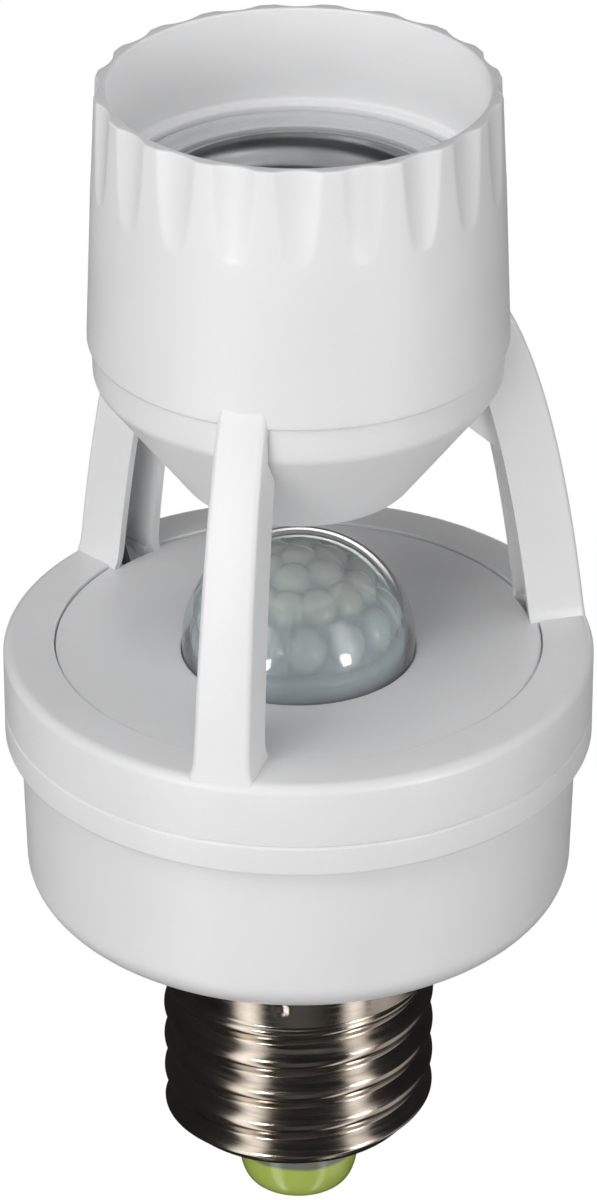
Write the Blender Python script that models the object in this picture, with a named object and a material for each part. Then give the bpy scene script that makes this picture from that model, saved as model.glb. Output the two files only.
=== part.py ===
"""Motion-sensing lamp-holder adaptor: a screw cap below, a sensor housing, and a lamp socket on three arms.

The origin is the centre of the tip contact's lower face and +Z runs up the axis to the socket's mouth.
Every size is in metres.
"""
import math

import bmesh
import bpy
from mathutils import Matrix, Vector

MM = 0.001

# Clearances
GAP = 0.3 * MM                    # between two pieces that touch
SPRING_GAP = 0.4 * MM             # over and under the root of the sprung contact
OVERSHOOT = 1.0 * MM              # how far a cutter runs past the face it opens

# Facets round the axis
HOUSING_FACETS = 48
SOCKET_FACETS = 36
LENS_FACETS = 28
CAP_FACETS = 32
SMALL_FACETS = 18
TINY_FACETS = 10

# Edges sharper than this stay sharp
CREASE_ANGLE = math.radians(32.0)
SHEET_CREASE_ANGLE = math.radians(60.0)
THREAD_CREASE_ANGLE = math.radians(80.0)

# Tip contact and its insulator
TIP_RADIUS = 3.7 * MM
TIP_EDGE = 0.35 * MM
TIP_THICKNESS = 0.7 * MM
TIP_STEM_RADIUS = 1.2 * MM
TIP_STEM_HEIGHT = 11.0 * MM
INSULATOR_FOOT_RADIUS = 4.6 * MM
INSULATOR_NECK_HEIGHT = 5.0 * MM
INSULATOR_NECK_CLEARANCE = 1.4 * MM  # from the cap's lip in to the insulator's neck
INSULATOR_FLANGE_INSET = 1.9 * MM  # from the cap's bore to the insulator's flange
INSULATOR_TOP_HEIGHT = 11.5 * MM

# Screw cap, a rolled knuckle thread of the 27 mm size
THREAD_PITCH = 3.629 * MM
CAP_CREST_RADIUS = 13.1 * MM
CAP_THREAD_DEPTH = 1.05 * MM
CAP_SHEET = 0.55 * MM
CAP_LIP_HEIGHT = 8.2 * MM         # the turned-in lower lip
CAP_LIP_REACH = 4.75 * MM         # how far the lip turns in from the thread's root
CAP_LIP_THICKNESS = 0.5 * MM
CAP_SHOULDER_RISE = 2.4 * MM      # from the lip up to the start of the thread
CAP_NECK_LENGTH = 7.9 * MM        # plain band above the thread
CAP_THREAD_FADE = 0.8 * MM
CAP_CREST_PHASE = math.radians(240.0)
CAP_ROWS_PER_TURN = 5

# Ring of the upper frame
RING_RADIUS = 27.8 * MM
RING_WALL = 1.17 * MM
RING_HEIGHT = 9.4 * MM
RING_PLATE = 1.5 * MM
RING_EDGE = 0.9 * MM
RING_GROOVE_RISE = 3.0 * MM
RING_GROOVE = 0.25 * MM
RING_LAND = 4.8 * MM              # flat top of the ring, out from the sensor plate
SEAT_WIDTH = 1.2 * MM             # ledge that the sensor plate rests on
SEAT_LEDGE = 1.2 * MM

# Lower housing
HOUSING_FLOOR_HEIGHT = 34.2 * MM  # underside
HOUSING_DEPTH = 17.9 * MM         # from the underside up to the ring
HOUSING_WALL = 1.8 * MM
HOUSING_TAPER = 0.48 * MM
HOUSING_FILLET_ACROSS = 7.5 * MM
HOUSING_FILLET_UP = 4.7 * MM
NECK_WALL = 1.7 * MM
NECK_DROP = 10.4 * MM
NECK_RECESS = 0.5 * MM            # hollow round the neck that takes the cap's top edge
SPIGOT_CLEARANCE = 0.8 * MM       # from the housing's top edge up to the seat

# Arms
ARM_ANGLES = tuple(math.radians(angle) for angle in (-105.0, 15.0, 135.0))
ARM_REACH = 31.8 * MM             # from the ring's top up to the skirt
ARM_FOOT_WIDTH = 5.4 * MM
ARM_HEAD_WIDTH = 4.5 * MM
ARM_DEPTH = 5.5 * MM
ARM_SKIN = 1.4 * MM
ARM_CHEEK = 0.8 * MM
ARM_EDGE = 0.5 * MM
ARM_FOOT_SINK = 1.5 * MM          # how far below the ring's top the arm's curve starts
ARM_HEAD_RISE = 0.9 * MM          # how far above the skirt's foot the arm's curve ends
ARM_HEAD_FADE = 1.4 * MM          # from there up to where the arm has sunk into the skirt
ARM_HEAD_PROUD = 0.25 * MM
ARM_CURVE_START = math.radians(30.0)
ARM_CURVE_END = math.radians(71.0)
ARM_STATIONS = 7
ARM_FACE_STEPS = 3                # facets across an arm's outer face

# Socket skirt
SKIRT_LENGTH = 24.9 * MM
SKIRT_WIDE_RADIUS = 19.4 * MM
SKIRT_TAPER = 0.95 * MM
SKIRT_WALL = 1.5 * MM
MOUTH_WALL = 1.15 * MM
SKIRT_WIDE_RISE = 0.7 * MM
SKIRT_EDGE = 0.35 * MM
MOUTH_EDGE = 0.18 * MM
SHELF_DEPTH = 9.2 * MM            # from the mouth down to the shelf
SHELF_THICKNESS = 1.5 * MM
SHELF_WIDTH = 1.0 * MM
FLUTE_COUNT = 20
FLUTE_FACETS = 4
FLUTE_DEPTH = 0.55 * MM
FLUTE_LENGTH = 9.0 * MM

# Socket cone
CONE_BAND_INSET = 0.4 * MM        # from the skirt's face in to the cone's band
CONE_BAND_HEIGHT = 3.1 * MM
CONE_BAND_TAPER = 0.1 * MM
CONE_SHOULDER_INSET = 1.4 * MM
CONE_SHOULDER_DROP = 1.7 * MM     # rounding between the band and the straight cone
CONE_FOOT_RADIUS = 10.5 * MM
CONE_FOOT_EDGE = 0.4 * MM
CONE_DEPTH = 9.4 * MM             # from the shoulder down to the flat foot
CONE_WALL = 1.7 * MM
CONE_SPIGOT_RISE = 3.0 * MM
WEB_FOOT_SHARE = 0.09             # of the way up from the cone's foot to the web's root
SLOT_WIDTH = 1.3 * MM
SLOT_HEIGHT = 2.4 * MM
LEAD_BEND = 1.2 * MM              # how far a lead leans in as it reaches its slot

# Lamp socket inside the cone and the skirt
INSERT_DROP = 0.2 * MM            # from the cone's shoulder down to the insert's underside
INSERT_HEADROOM = 0.8 * MM        # from the lead slots up to the insert
INSERT_INSET = 0.9 * MM           # from the shelf's bore in to the insert's wall
INSERT_WALL = 1.4 * MM
INSERT_FLOOR = 1.6 * MM
INSERT_FLANGE_DROP = 0.5 * MM     # flange top below the shelf's top
INSERT_FLANGE = 1.5 * MM
INSERT_STEP = 0.6 * MM
SHELL_CLEARANCE = 0.4 * MM
SHELL_THREAD_DEPTH = 0.95 * MM
SHELL_SHEET = 0.45 * MM
SHELL_THREAD_SHARE = 0.74         # of the shell's height that is threaded
SHELL_THREAD_START = 0.01 * MM
SHELL_ROWS_PER_TURN = 4
SHELL_FLANGE_WIDTH = 2.0 * MM
SHELL_TOP_DROP = 1.4 * MM         # shell's edge below the shelf's top

# Sprung centre contact and the rivets
CONTACT_ROOT_INSET = 2.8 * MM     # from the shell's flange in to the rivet that the strip tilts at
CONTACT_SHEET = 0.4 * MM
CONTACT_WIDTH = 4.4 * MM
CONTACT_ROOT_HALF = 1.8 * MM
CONTACT_RISE = 2.6 * MM
CONTACT_PAD_HALF = 1.9 * MM
CONTACT_TAIL = 1.3 * MM
RIVET_RADIUS = 0.7 * MM
RIVET_HEAD_RADIUS = 1.2 * MM
RIVET_HEAD = 0.6 * MM
SHELL_RIVET_ANGLE = math.radians(205.0)

# Sensor plate and lens
PLATE_THICKNESS = 1.3 * MM
PLATE_DISH = 1.1 * MM
PLATE_RIM = 1.4 * MM
PLATE_FLAT_WIDTH = 2.4 * MM       # level part of the plate, out from the lens
LENS_RADIUS = 11.0 * MM
LENS_WALL = 0.7 * MM
LENS_BAND_RISE = 0.9 * MM         # plain band above the plate before the dome starts
LENS_DOME_RISE = 10.1 * MM
LENS_FLANGE_WIDTH = 1.8 * MM
SPACER_WALL = 1.6 * MM

# Circuit boards
BOARD_THICKNESS = 1.6 * MM
CONTROL_BOARD_DROP = 8.9 * MM     # from the ring's top down to the control board's underside
CONTROL_BOARD_INSET = 1.93 * MM   # from the housing's wall in to the board's edge
POWER_BOARD_RISE = 5.6 * MM       # from the housing's underside up to the power board's underside
POWER_BOARD_INSET = 1.25 * MM
SCREW_ANGLES = (math.radians(75.0), math.radians(255.0))
SCREW_RADIUS = 0.9 * MM
SCREW_HEAD_RADIUS = 1.9 * MM
SCREW_HEAD_CROWN_RADIUS = 1.3 * MM
SCREW_HEAD = 1.1 * MM
SCREW_LENGTH = 4.6 * MM
SCREW_POINT = 0.7 * MM
BOSS_RADIUS = 1.9 * MM

# Parts on the boards; a place is given as shares of the board's radius
PART_EDGE = 0.4 * MM
SENSOR_CAN_RADIUS = 4.6 * MM
SENSOR_CAN_HEIGHT = 3.9 * MM
SENSOR_WINDOW = 3.4 * MM
SENSOR_WINDOW_THICKNESS = 0.5 * MM
LIGHT_SENSOR_RADIUS = 2.1 * MM
LIGHT_SENSOR_X = 7.4 * MM
CHIP_SIZE = (8.6 * MM, 4.0 * MM, 1.4 * MM)
CHIP_PLACE = (-0.09, -0.04)
TALL_PART_HEADROOM = 0.4 * MM     # from the tall parts up to the chip's underside
RELAY_FOOT = (15.4 * MM, 10.2 * MM)
RELAY_PLACE = (-0.46, 0.22)
FILM_CAPACITOR_FOOT = (13.0 * MM, 5.2 * MM)
FILM_CAPACITOR_PLACE = (-0.38, -0.32)
STORE_CAPACITOR_RADIUS = 4.0 * MM
STORE_CAPACITOR_PLACE = (0.35, -0.42)
RECTIFIER_FOOT = (6.4 * MM, 8.4 * MM)
RECTIFIER_HEIGHT = 2.6 * MM
RECTIFIER_PLACE = (0.55, 0.15)
FUSE_RADIUS = 1.7 * MM
FUSE_LENGTH = 9.0 * MM
FUSE_NECK_RADIUS = 1.35 * MM
FUSE_NECK = 0.9 * MM
FUSE_PLACE = (0.2, 0.2)
HEADER_FOOT = (2.5 * MM, 10.2 * MM)
HEADER_PLACE = (0.83, 0.09)
HEADER_PINS = 4

# Leads
LEAD_RADIUS = 0.5 * MM
LEAD_ANGLES = ARM_ANGLES[1:]      # the right arm and the back arm carry a lead each
LEAD_EDGE_INSET = 1.2 * MM        # from the control board's edge in to a lead's solder joint
LEAD_SEAT_DROP = 1.5 * MM         # a lead turns up this far under the seat
LEAD_CLIMB_STEPS = 4
LEAD_CLIMB_MARGINS = (2.0 * MM, 1.5 * MM)  # left out over the ring and under the slot
CAP_LEAD_RADIUS = 0.7 * MM
TIP_LEAD_LEAN = 4.0 * MM
SHELL_LEAD_LEAN = 1.7 * MM

# Heights and radii that follow from the sizes above
INSULATOR_FOOT_HEIGHT = TIP_THICKNESS + GAP
CAP_THREAD_BOTTOM = CAP_LIP_HEIGHT + CAP_SHOULDER_RISE
CAP_TOP_HEIGHT = HOUSING_FLOOR_HEIGHT + NECK_RECESS - GAP
CAP_THREAD_TOP = CAP_TOP_HEIGHT - CAP_NECK_LENGTH
CAP_ROOT_RADIUS = CAP_CREST_RADIUS - CAP_THREAD_DEPTH
CAP_BORE_RADIUS = CAP_ROOT_RADIUS - CAP_SHEET
CAP_LIP_RADIUS = CAP_ROOT_RADIUS - CAP_LIP_REACH
INSULATOR_NECK_RADIUS = CAP_LIP_RADIUS - INSULATOR_NECK_CLEARANCE
INSULATOR_FLANGE_RADIUS = CAP_BORE_RADIUS - INSULATOR_FLANGE_INSET
NECK_RADIUS = CAP_BORE_RADIUS - GAP
NECK_BORE_RADIUS = NECK_RADIUS - NECK_WALL
NECK_BOTTOM_HEIGHT = HOUSING_FLOOR_HEIGHT - NECK_DROP
RECESS_RADIUS = CAP_CREST_RADIUS + GAP
RECESS_HEIGHT = HOUSING_FLOOR_HEIGHT + NECK_RECESS
FLOOR_TOP_HEIGHT = HOUSING_FLOOR_HEIGHT + HOUSING_WALL
RING_BOTTOM_HEIGHT = HOUSING_FLOOR_HEIGHT + HOUSING_DEPTH
RING_TOP_HEIGHT = RING_BOTTOM_HEIGHT + RING_HEIGHT
RING_GROOVE_HEIGHT = RING_BOTTOM_HEIGHT + RING_GROOVE_RISE
RING_BORE_RADIUS = RING_RADIUS - RING_WALL
HOUSING_TOP_RADIUS = RING_BORE_RADIUS - GAP
HOUSING_LOW_RADIUS = HOUSING_TOP_RADIUS - HOUSING_TAPER
SEAT_OUTER_RADIUS = RING_RADIUS - RING_LAND
SEAT_INNER_RADIUS = SEAT_OUTER_RADIUS - SEAT_WIDTH
SEAT_HEIGHT = RING_TOP_HEIGHT - RING_PLATE
SEAT_BOTTOM_HEIGHT = SEAT_HEIGHT - SEAT_LEDGE
SPIGOT_TOP_HEIGHT = SEAT_BOTTOM_HEIGHT - SPIGOT_CLEARANCE
PLATE_RADIUS = SEAT_OUTER_RADIUS - GAP
PLATE_RIM_HEIGHT = SEAT_HEIGHT + GAP
PLATE_CENTRE_HEIGHT = PLATE_RIM_HEIGHT - PLATE_DISH
PLATE_FLAT_RADIUS = LENS_RADIUS + PLATE_FLAT_WIDTH
LENS_HOLE_RADIUS = LENS_RADIUS + GAP
LENS_FLANGE_RADIUS = LENS_RADIUS + LENS_FLANGE_WIDTH
LENS_FLANGE_TOP = PLATE_CENTRE_HEIGHT - GAP
LENS_FLANGE_BOTTOM = LENS_FLANGE_TOP - LENS_WALL
LENS_DOME_HEIGHT = PLATE_CENTRE_HEIGHT + PLATE_THICKNESS + LENS_BAND_RISE
LENS_TOP_HEIGHT = LENS_DOME_HEIGHT + LENS_DOME_RISE
SKIRT_BOTTOM_HEIGHT = RING_TOP_HEIGHT + ARM_REACH
SKIRT_TOP_HEIGHT = SKIRT_BOTTOM_HEIGHT + SKIRT_LENGTH
SKIRT_MOUTH_RADIUS = SKIRT_WIDE_RADIUS - SKIRT_TAPER
SKIRT_BORE_RADIUS = SKIRT_WIDE_RADIUS - SKIRT_WALL
MOUTH_BORE_RADIUS = SKIRT_MOUTH_RADIUS - MOUTH_WALL
SHELF_HEIGHT = SKIRT_TOP_HEIGHT - SHELF_DEPTH
SHELF_BORE_RADIUS = MOUTH_BORE_RADIUS - SHELF_WIDTH
ARM_FOOT_HEIGHT = RING_TOP_HEIGHT - ARM_FOOT_SINK
ARM_HEAD_HEIGHT = SKIRT_BOTTOM_HEIGHT + ARM_HEAD_RISE
ARM_CHANNEL_HEAD = ARM_HEAD_WIDTH - 2 * ARM_CHEEK
BAND_TOP_HEIGHT = SKIRT_BOTTOM_HEIGHT - GAP
BAND_BOTTOM_HEIGHT = BAND_TOP_HEIGHT - CONE_BAND_HEIGHT
CONE_BAND_RADIUS = SKIRT_WIDE_RADIUS - CONE_BAND_INSET
CONE_SHOULDER_RADIUS = CONE_BAND_RADIUS - CONE_SHOULDER_INSET
CONE_SHOULDER_HEIGHT = BAND_BOTTOM_HEIGHT - CONE_SHOULDER_DROP
CONE_FOOT_HEIGHT = CONE_SHOULDER_HEIGHT - CONE_DEPTH
WEB_WIDTH = ARM_CHANNEL_HEAD - 2 * GAP
INSERT_FLOOR_HEIGHT = CONE_SHOULDER_HEIGHT - INSERT_DROP
SLOT_TOP_HEIGHT = INSERT_FLOOR_HEIGHT - INSERT_HEADROOM
SLOT_BOTTOM_HEIGHT = SLOT_TOP_HEIGHT - SLOT_HEIGHT
WEB_ROOT_HEIGHT = SLOT_BOTTOM_HEIGHT - GAP
WEB_FOOT_HEIGHT = CONE_FOOT_HEIGHT + (WEB_ROOT_HEIGHT - CONE_FOOT_HEIGHT) * WEB_FOOT_SHARE
INSERT_RADIUS = SHELF_BORE_RADIUS - INSERT_INSET
INSERT_BORE_RADIUS = INSERT_RADIUS - INSERT_WALL
INSERT_TOP_HEIGHT = SHELF_HEIGHT - INSERT_FLANGE_DROP
INSERT_FLANGE_RADIUS = SHELF_BORE_RADIUS - GAP
FLOOR_FACE_HEIGHT = INSERT_FLOOR_HEIGHT + INSERT_FLOOR
SHELL_WALL_RADIUS = INSERT_BORE_RADIUS - SHELL_CLEARANCE
SHELL_CREST_RADIUS = SHELL_WALL_RADIUS - SHELL_THREAD_DEPTH - SHELL_SHEET
SHELL_FLANGE_RADIUS = SHELL_CREST_RADIUS - SHELL_FLANGE_WIDTH
CONTACT_ROOT_X = SHELL_FLANGE_RADIUS - CONTACT_ROOT_INSET
CONTACT_HEIGHT = FLOOR_FACE_HEIGHT + SPRING_GAP
CONTACT_AXIS_HEIGHT = CONTACT_HEIGHT + CONTACT_SHEET / 2
POWER_BOARD_HEIGHT = HOUSING_FLOOR_HEIGHT + POWER_BOARD_RISE
POWER_BOARD_TOP = POWER_BOARD_HEIGHT + BOARD_THICKNESS
POWER_BOARD_RADIUS = HOUSING_LOW_RADIUS - HOUSING_WALL - POWER_BOARD_INSET
CONTROL_BOARD_HEIGHT = RING_TOP_HEIGHT - CONTROL_BOARD_DROP
CONTROL_BOARD_TOP = CONTROL_BOARD_HEIGHT + BOARD_THICKNESS
CONTROL_BOARD_RADIUS = HOUSING_TOP_RADIUS - HOUSING_WALL - CONTROL_BOARD_INSET
SCREW_RING_RADIUS = SEAT_INNER_RADIUS - GAP - BOSS_RADIUS
CHIP_BOTTOM_HEIGHT = CONTROL_BOARD_HEIGHT - GAP - CHIP_SIZE[2]
TALL_PART_HEIGHT = CHIP_BOTTOM_HEIGHT - TALL_PART_HEADROOM - POWER_BOARD_TOP - GAP

WHITE_PLASTIC = ("white_plastic", (0.86, 0.86, 0.87), 0.38, 0.0, 1.0)
CREAM_PLASTIC = ("cream_plastic", (0.80, 0.80, 0.79), 0.45, 0.0, 1.0)
LENS_PLASTIC = ("lens_plastic", (0.58, 0.61, 0.55), 0.25, 0.0, 0.6)
NICKEL = ("nickel", (0.62, 0.58, 0.55), 0.18, 1.0, 1.0)
BRASS = ("brass", (0.72, 0.58, 0.30), 0.30, 1.0, 1.0)
GREEN_GLASS = ("green_glass", (0.42, 0.55, 0.10), 0.15, 0.0, 1.0)
GREEN_BOARD = ("green_board", (0.05, 0.26, 0.12), 0.50, 0.0, 1.0)
BLACK_RESIN = ("black_resin", (0.03, 0.03, 0.03), 0.45, 0.0, 1.0)
BLUE_RESIN = ("blue_resin", (0.08, 0.22, 0.55), 0.40, 0.0, 1.0)
YELLOW_RESIN = ("yellow_resin", (0.80, 0.62, 0.12), 0.40, 0.0, 1.0)
STEEL = ("steel", (0.60, 0.60, 0.60), 0.30, 1.0, 1.0)


def clear_scene():
    """Remove every object that the start-up file holds."""
    for item in list(bpy.data.objects):
        bpy.data.objects.remove(item, do_unlink=True)


def material(finish):
    """Return the Principled material of a finish, made once."""
    name, colour, roughness, metallic, alpha = finish
    made = bpy.data.materials.get(name)
    if made is None:
        made = bpy.data.materials.new(name)
        made.use_nodes = True
        shader = made.node_tree.nodes["Principled BSDF"]
        shader.inputs["Base Color"].default_value = (*colour, 1.0)
        shader.inputs["Roughness"].default_value = roughness
        shader.inputs["Metallic"].default_value = metallic
        shader.inputs["Alpha"].default_value = alpha
    return made


def place(name, mesh, finish, crease=CREASE_ANGLE):
    """Put a bmesh into the scene as a named object, smooth but for edges sharper than the crease angle."""
    bmesh.ops.remove_doubles(mesh, verts=mesh.verts, dist=0.001 * MM)
    bmesh.ops.recalc_face_normals(mesh, faces=mesh.faces)
    data = bpy.data.meshes.new(name)
    mesh.to_mesh(data)
    mesh.free()
    data.shade_smooth()
    data.set_sharp_from_angle(angle=crease)
    data.materials.append(material(finish))
    piece = bpy.data.objects.new(name, data)
    bpy.context.scene.collection.objects.link(piece)
    return piece


def operand(name, mesh, finish):
    """Put a bmesh into the scene as a hidden operand of a Boolean."""
    tool = place(name, mesh, finish)
    tool.hide_render = True
    tool.display_type = "WIRE"
    return tool


def combine(piece, tool, operation):
    """Join a tool to a piece, or cut the piece with it."""
    step = piece.modifiers.new(tool.name, "BOOLEAN")
    step.operation = operation
    step.solver = "EXACT"
    step.object = tool


def turned(profile, facets, mesh=None):
    """Spin a closed (radius, height) outline once round the axis."""
    mesh = mesh or bmesh.new()
    points = [mesh.verts.new((radius, 0.0, height)) for radius, height in profile]
    edges = []
    for index, point in enumerate(points):
        after = points[(index + 1) % len(points)]
        if point.co.x > 0.0 or after.co.x > 0.0:
            edges.append(mesh.edges.new((point, after)))
    bmesh.ops.spin(mesh, geom=points + edges, cent=(0, 0, 0), axis=(0, 0, 1), dvec=(0, 0, 0),
                   angle=2 * math.pi, steps=facets, use_merge=True)
    bmesh.ops.remove_doubles(mesh, verts=mesh.verts, dist=0.001 * MM)
    return mesh


def lofted(sections, mesh=None):
    """Skin a stack of closed sections with the same number of points, and cap both ends."""
    mesh = mesh or bmesh.new()
    rows = [[mesh.verts.new(point) for point in section] for section in sections]
    count = len(rows[0])
    for low, high in zip(rows[:-1], rows[1:]):
        for index in range(count):
            after = (index + 1) % count
            mesh.faces.new((low[index], low[after], high[after], high[index]))
    mesh.faces.new(list(reversed(rows[0])))
    mesh.faces.new(rows[-1])
    return mesh


def block(centre, size, edge=0.0, mesh=None):
    """Add a box of a size (x, y, z) about a centre, with its edges bevelled where an edge width is given."""
    mesh = mesh or bmesh.new()
    matrix = Matrix.Translation(Vector(centre)) @ Matrix.Diagonal((*size, 1.0))
    made = bmesh.ops.create_cube(mesh, size=1.0, matrix=matrix)
    if edge > 0.0:
        corners = made["verts"]
        sides = list({side for corner in corners for side in corner.link_edges})
        bmesh.ops.bevel(mesh, geom=sides, offset=edge, segments=1, affect="EDGES", profile=0.5)
    return mesh


def rod(centre, radius, bottom, top, facets=TINY_FACETS, mesh=None):
    """Add an upright round bar at a centre (x, y) between two heights."""
    sections = []
    for height in (bottom, top):
        ring = [(centre[0] + radius * math.cos(2 * math.pi * step / facets),
                 centre[1] + radius * math.sin(2 * math.pi * step / facets), height) for step in range(facets)]
        sections.append(ring)
    return lofted(sections, mesh)


def polar(angle, radius, across, height):
    """Return the point at a radius in the direction of an angle, moved sideways by across."""
    return (radius * math.cos(angle) - across * math.sin(angle),
            radius * math.sin(angle) + across * math.cos(angle), height)


def ring_place(angle, radius):
    """Return the (x, y) of a radius in the direction of an angle."""
    return radius * math.cos(angle), radius * math.sin(angle)


def quarter(start, end, steps, bulge_first_axis):
    """Return the points of a quarter ellipse from start to end, both left out.

    The curve leaves start along the first axis where bulge_first_axis is true, and otherwise along the second.
    """
    points = []
    for step in range(1, steps):
        turn = math.pi / 2 * step / steps
        first, second = math.sin(turn), 1.0 - math.cos(turn)
        if not bulge_first_axis:
            first, second = second, first
        points.append((start[0] + (end[0] - start[0]) * first, start[1] + (end[1] - start[1]) * second))
    return points


def between(points, height):
    """Return the radius at a height on a line of (radius, height) points that climbs."""
    for (low_radius, low), (high_radius, high) in zip(points[:-1], points[1:]):
        if low <= height <= high:
            return low_radius + (high_radius - low_radius) * (height - low) / (high - low)
    return points[0][0] if height < points[0][1] else points[-1][0]


def arm_outer_radius(height):
    """Return the radius of an arm's outer face at a height: a stretch of an ellipse from ring to skirt."""
    share = (height - ARM_FOOT_HEIGHT) / (ARM_HEAD_HEIGHT - ARM_FOOT_HEIGHT)
    low, high = math.sin(ARM_CURVE_START), math.sin(ARM_CURVE_END)
    turn = math.asin(min(max(low + (high - low) * share, low), high))
    fall = (math.cos(turn) - math.cos(ARM_CURVE_END)) / (math.cos(ARM_CURVE_START) - math.cos(ARM_CURVE_END))
    head = SKIRT_WIDE_RADIUS + ARM_HEAD_PROUD
    foot = RING_RADIUS - RING_GROOVE / 4
    return head + (foot - head) * fall


def cone_outline():
    """Return the cone's outer line, (radius, height) from its foot up to the top of its band."""
    return [(CONE_FOOT_RADIUS, CONE_FOOT_HEIGHT + CONE_FOOT_EDGE),
            (CONE_SHOULDER_RADIUS, CONE_SHOULDER_HEIGHT),
            (CONE_BAND_RADIUS - CONE_BAND_TAPER, BAND_BOTTOM_HEIGHT),
            (CONE_BAND_RADIUS, BAND_TOP_HEIGHT)]


def arm_inner_radius(height):
    """Return the radius of an arm's open side at a height, clear of the cone."""
    return max(arm_outer_radius(height) - ARM_DEPTH, between(cone_outline(), height) + GAP)


def arm_heights():
    """Return the stations of an arm's curve, evenly spaced along its ellipse below the cone's band."""
    low, high = math.sin(ARM_CURVE_START), math.sin(ARM_CURVE_END)
    heights = []
    for step in range(ARM_STATIONS):
        turn = ARM_CURVE_START + (ARM_CURVE_END - ARM_CURVE_START) * step / ARM_STATIONS
        share = (math.sin(turn) - low) / (high - low)
        height = ARM_FOOT_HEIGHT + (ARM_HEAD_HEIGHT - ARM_FOOT_HEIGHT) * share
        if height < BAND_BOTTOM_HEIGHT - GAP:
            heights.append(height)
    return heights + [BAND_BOTTOM_HEIGHT]


def arm_section(angle, height, outer, inner):
    """Return one level section of an arm, its outer face on a circle round the axis."""
    share = (height - ARM_FOOT_HEIGHT) / (ARM_HEAD_HEIGHT - ARM_FOOT_HEIGHT)
    half = (ARM_FOOT_WIDTH + (ARM_HEAD_WIDTH - ARM_FOOT_WIDTH) * min(max(share, 0.0), 1.0)) / 2
    points = [(inner, -half), (outer - ARM_EDGE, -half)]
    for step in range(ARM_FACE_STEPS + 1):
        across = -half + ARM_EDGE + (2 * half - 2 * ARM_EDGE) * step / ARM_FACE_STEPS
        points.append((math.sqrt(outer ** 2 - across ** 2), across))
    points += [(outer - ARM_EDGE, half), (inner, half)]
    return [polar(angle, radius, across, height) for radius, across in points]


def arms():
    """Return the three arms as solid bars from inside the ring to inside the skirt's wall."""
    mesh = bmesh.new()
    wall_middle = (SKIRT_BORE_RADIUS + SKIRT_WIDE_RADIUS) / 2
    for angle in ARM_ANGLES:
        sections = [arm_section(angle, ARM_FOOT_HEIGHT - SEAT_LEDGE / 2, RING_RADIUS - RING_EDGE,
                                arm_inner_radius(ARM_FOOT_HEIGHT))]
        for height in arm_heights():
            sections.append(arm_section(angle, height, arm_outer_radius(height), arm_inner_radius(height)))
        sections.append(arm_section(angle, BAND_TOP_HEIGHT, arm_outer_radius(BAND_TOP_HEIGHT),
                                    CONE_BAND_RADIUS + GAP))
        low = SKIRT_BOTTOM_HEIGHT + GAP
        sections.append(arm_section(angle, low, arm_outer_radius(low), wall_middle))
        middle = (low + ARM_HEAD_HEIGHT) / 2
        sections.append(arm_section(angle, middle, arm_outer_radius(middle), wall_middle))
        top = ARM_HEAD_HEIGHT + ARM_HEAD_FADE
        sections.append(arm_section(angle, top, wall_middle + ARM_EDGE + GAP, wall_middle))
        lofted(sections, mesh)
    return mesh


def arm_channels():
    """Return the three channels that open the arms towards the axis and pass down through the ring."""
    mesh = bmesh.new()
    for angle in ARM_ANGLES:
        sections = []
        for height in [SEAT_BOTTOM_HEIGHT - GAP] + arm_heights():
            outer = arm_outer_radius(height) - ARM_SKIN
            inner = min(arm_inner_radius(height), SEAT_INNER_RADIUS) - GAP
            share = min(max((height - ARM_FOOT_HEIGHT) / (ARM_HEAD_HEIGHT - ARM_FOOT_HEIGHT), 0.0), 1.0)
            half = (ARM_FOOT_WIDTH + (ARM_HEAD_WIDTH - ARM_FOOT_WIDTH) * share) / 2 - ARM_CHEEK
            corners = ((inner, -half), (outer, -half), (outer, half), (inner, half))
            sections.append([polar(angle, radius, across, height) for radius, across in corners])
        lofted(sections, mesh)
    return mesh


def fluted_radius(radius, height, step):
    """Return the skirt's radius at a facet, hollowed by a scoop that narrows to a point below the mouth."""
    reach = 1.0 - (SKIRT_TOP_HEIGHT - height) / FLUTE_LENGTH
    place_in_flute = 2.0 * (step % FLUTE_FACETS) / FLUTE_FACETS - 1.0
    hollow = reach - place_in_flute ** 2
    return radius - FLUTE_DEPTH * max(hollow, 0.0)


def skirt_body():
    """Return the skirt as a solid plug with the scoops round its mouth."""
    wide_height = SKIRT_BOTTOM_HEIGHT + SKIRT_WIDE_RISE
    taper = (SKIRT_WIDE_RADIUS - SKIRT_MOUTH_RADIUS) / (SKIRT_TOP_HEIGHT - wide_height)
    levels = [(SKIRT_WIDE_RADIUS - SKIRT_EDGE, SKIRT_BOTTOM_HEIGHT),
              (SKIRT_WIDE_RADIUS, SKIRT_BOTTOM_HEIGHT + SKIRT_EDGE),
              (SKIRT_WIDE_RADIUS, wide_height)]
    for share in (0.0, 1.0 / 3.0, 2.0 / 3.0):
        height = SKIRT_TOP_HEIGHT - FLUTE_LENGTH * (1.0 - share)
        levels.append((SKIRT_WIDE_RADIUS - taper * (height - wide_height), height))
    levels.append((SKIRT_MOUTH_RADIUS, SKIRT_TOP_HEIGHT - MOUTH_EDGE))
    levels.append((SKIRT_MOUTH_RADIUS - MOUTH_EDGE, SKIRT_TOP_HEIGHT))
    count = FLUTE_COUNT * FLUTE_FACETS
    start = -math.pi / 2 - math.pi / FLUTE_COUNT
    sections = []
    for radius, height in levels:
        ring = []
        for step in range(count):
            angle = start + 2 * math.pi * step / count
            ring.append((*ring_place(angle, fluted_radius(radius, height, step)), height))
        sections.append(ring)
    return lofted(sections)


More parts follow.
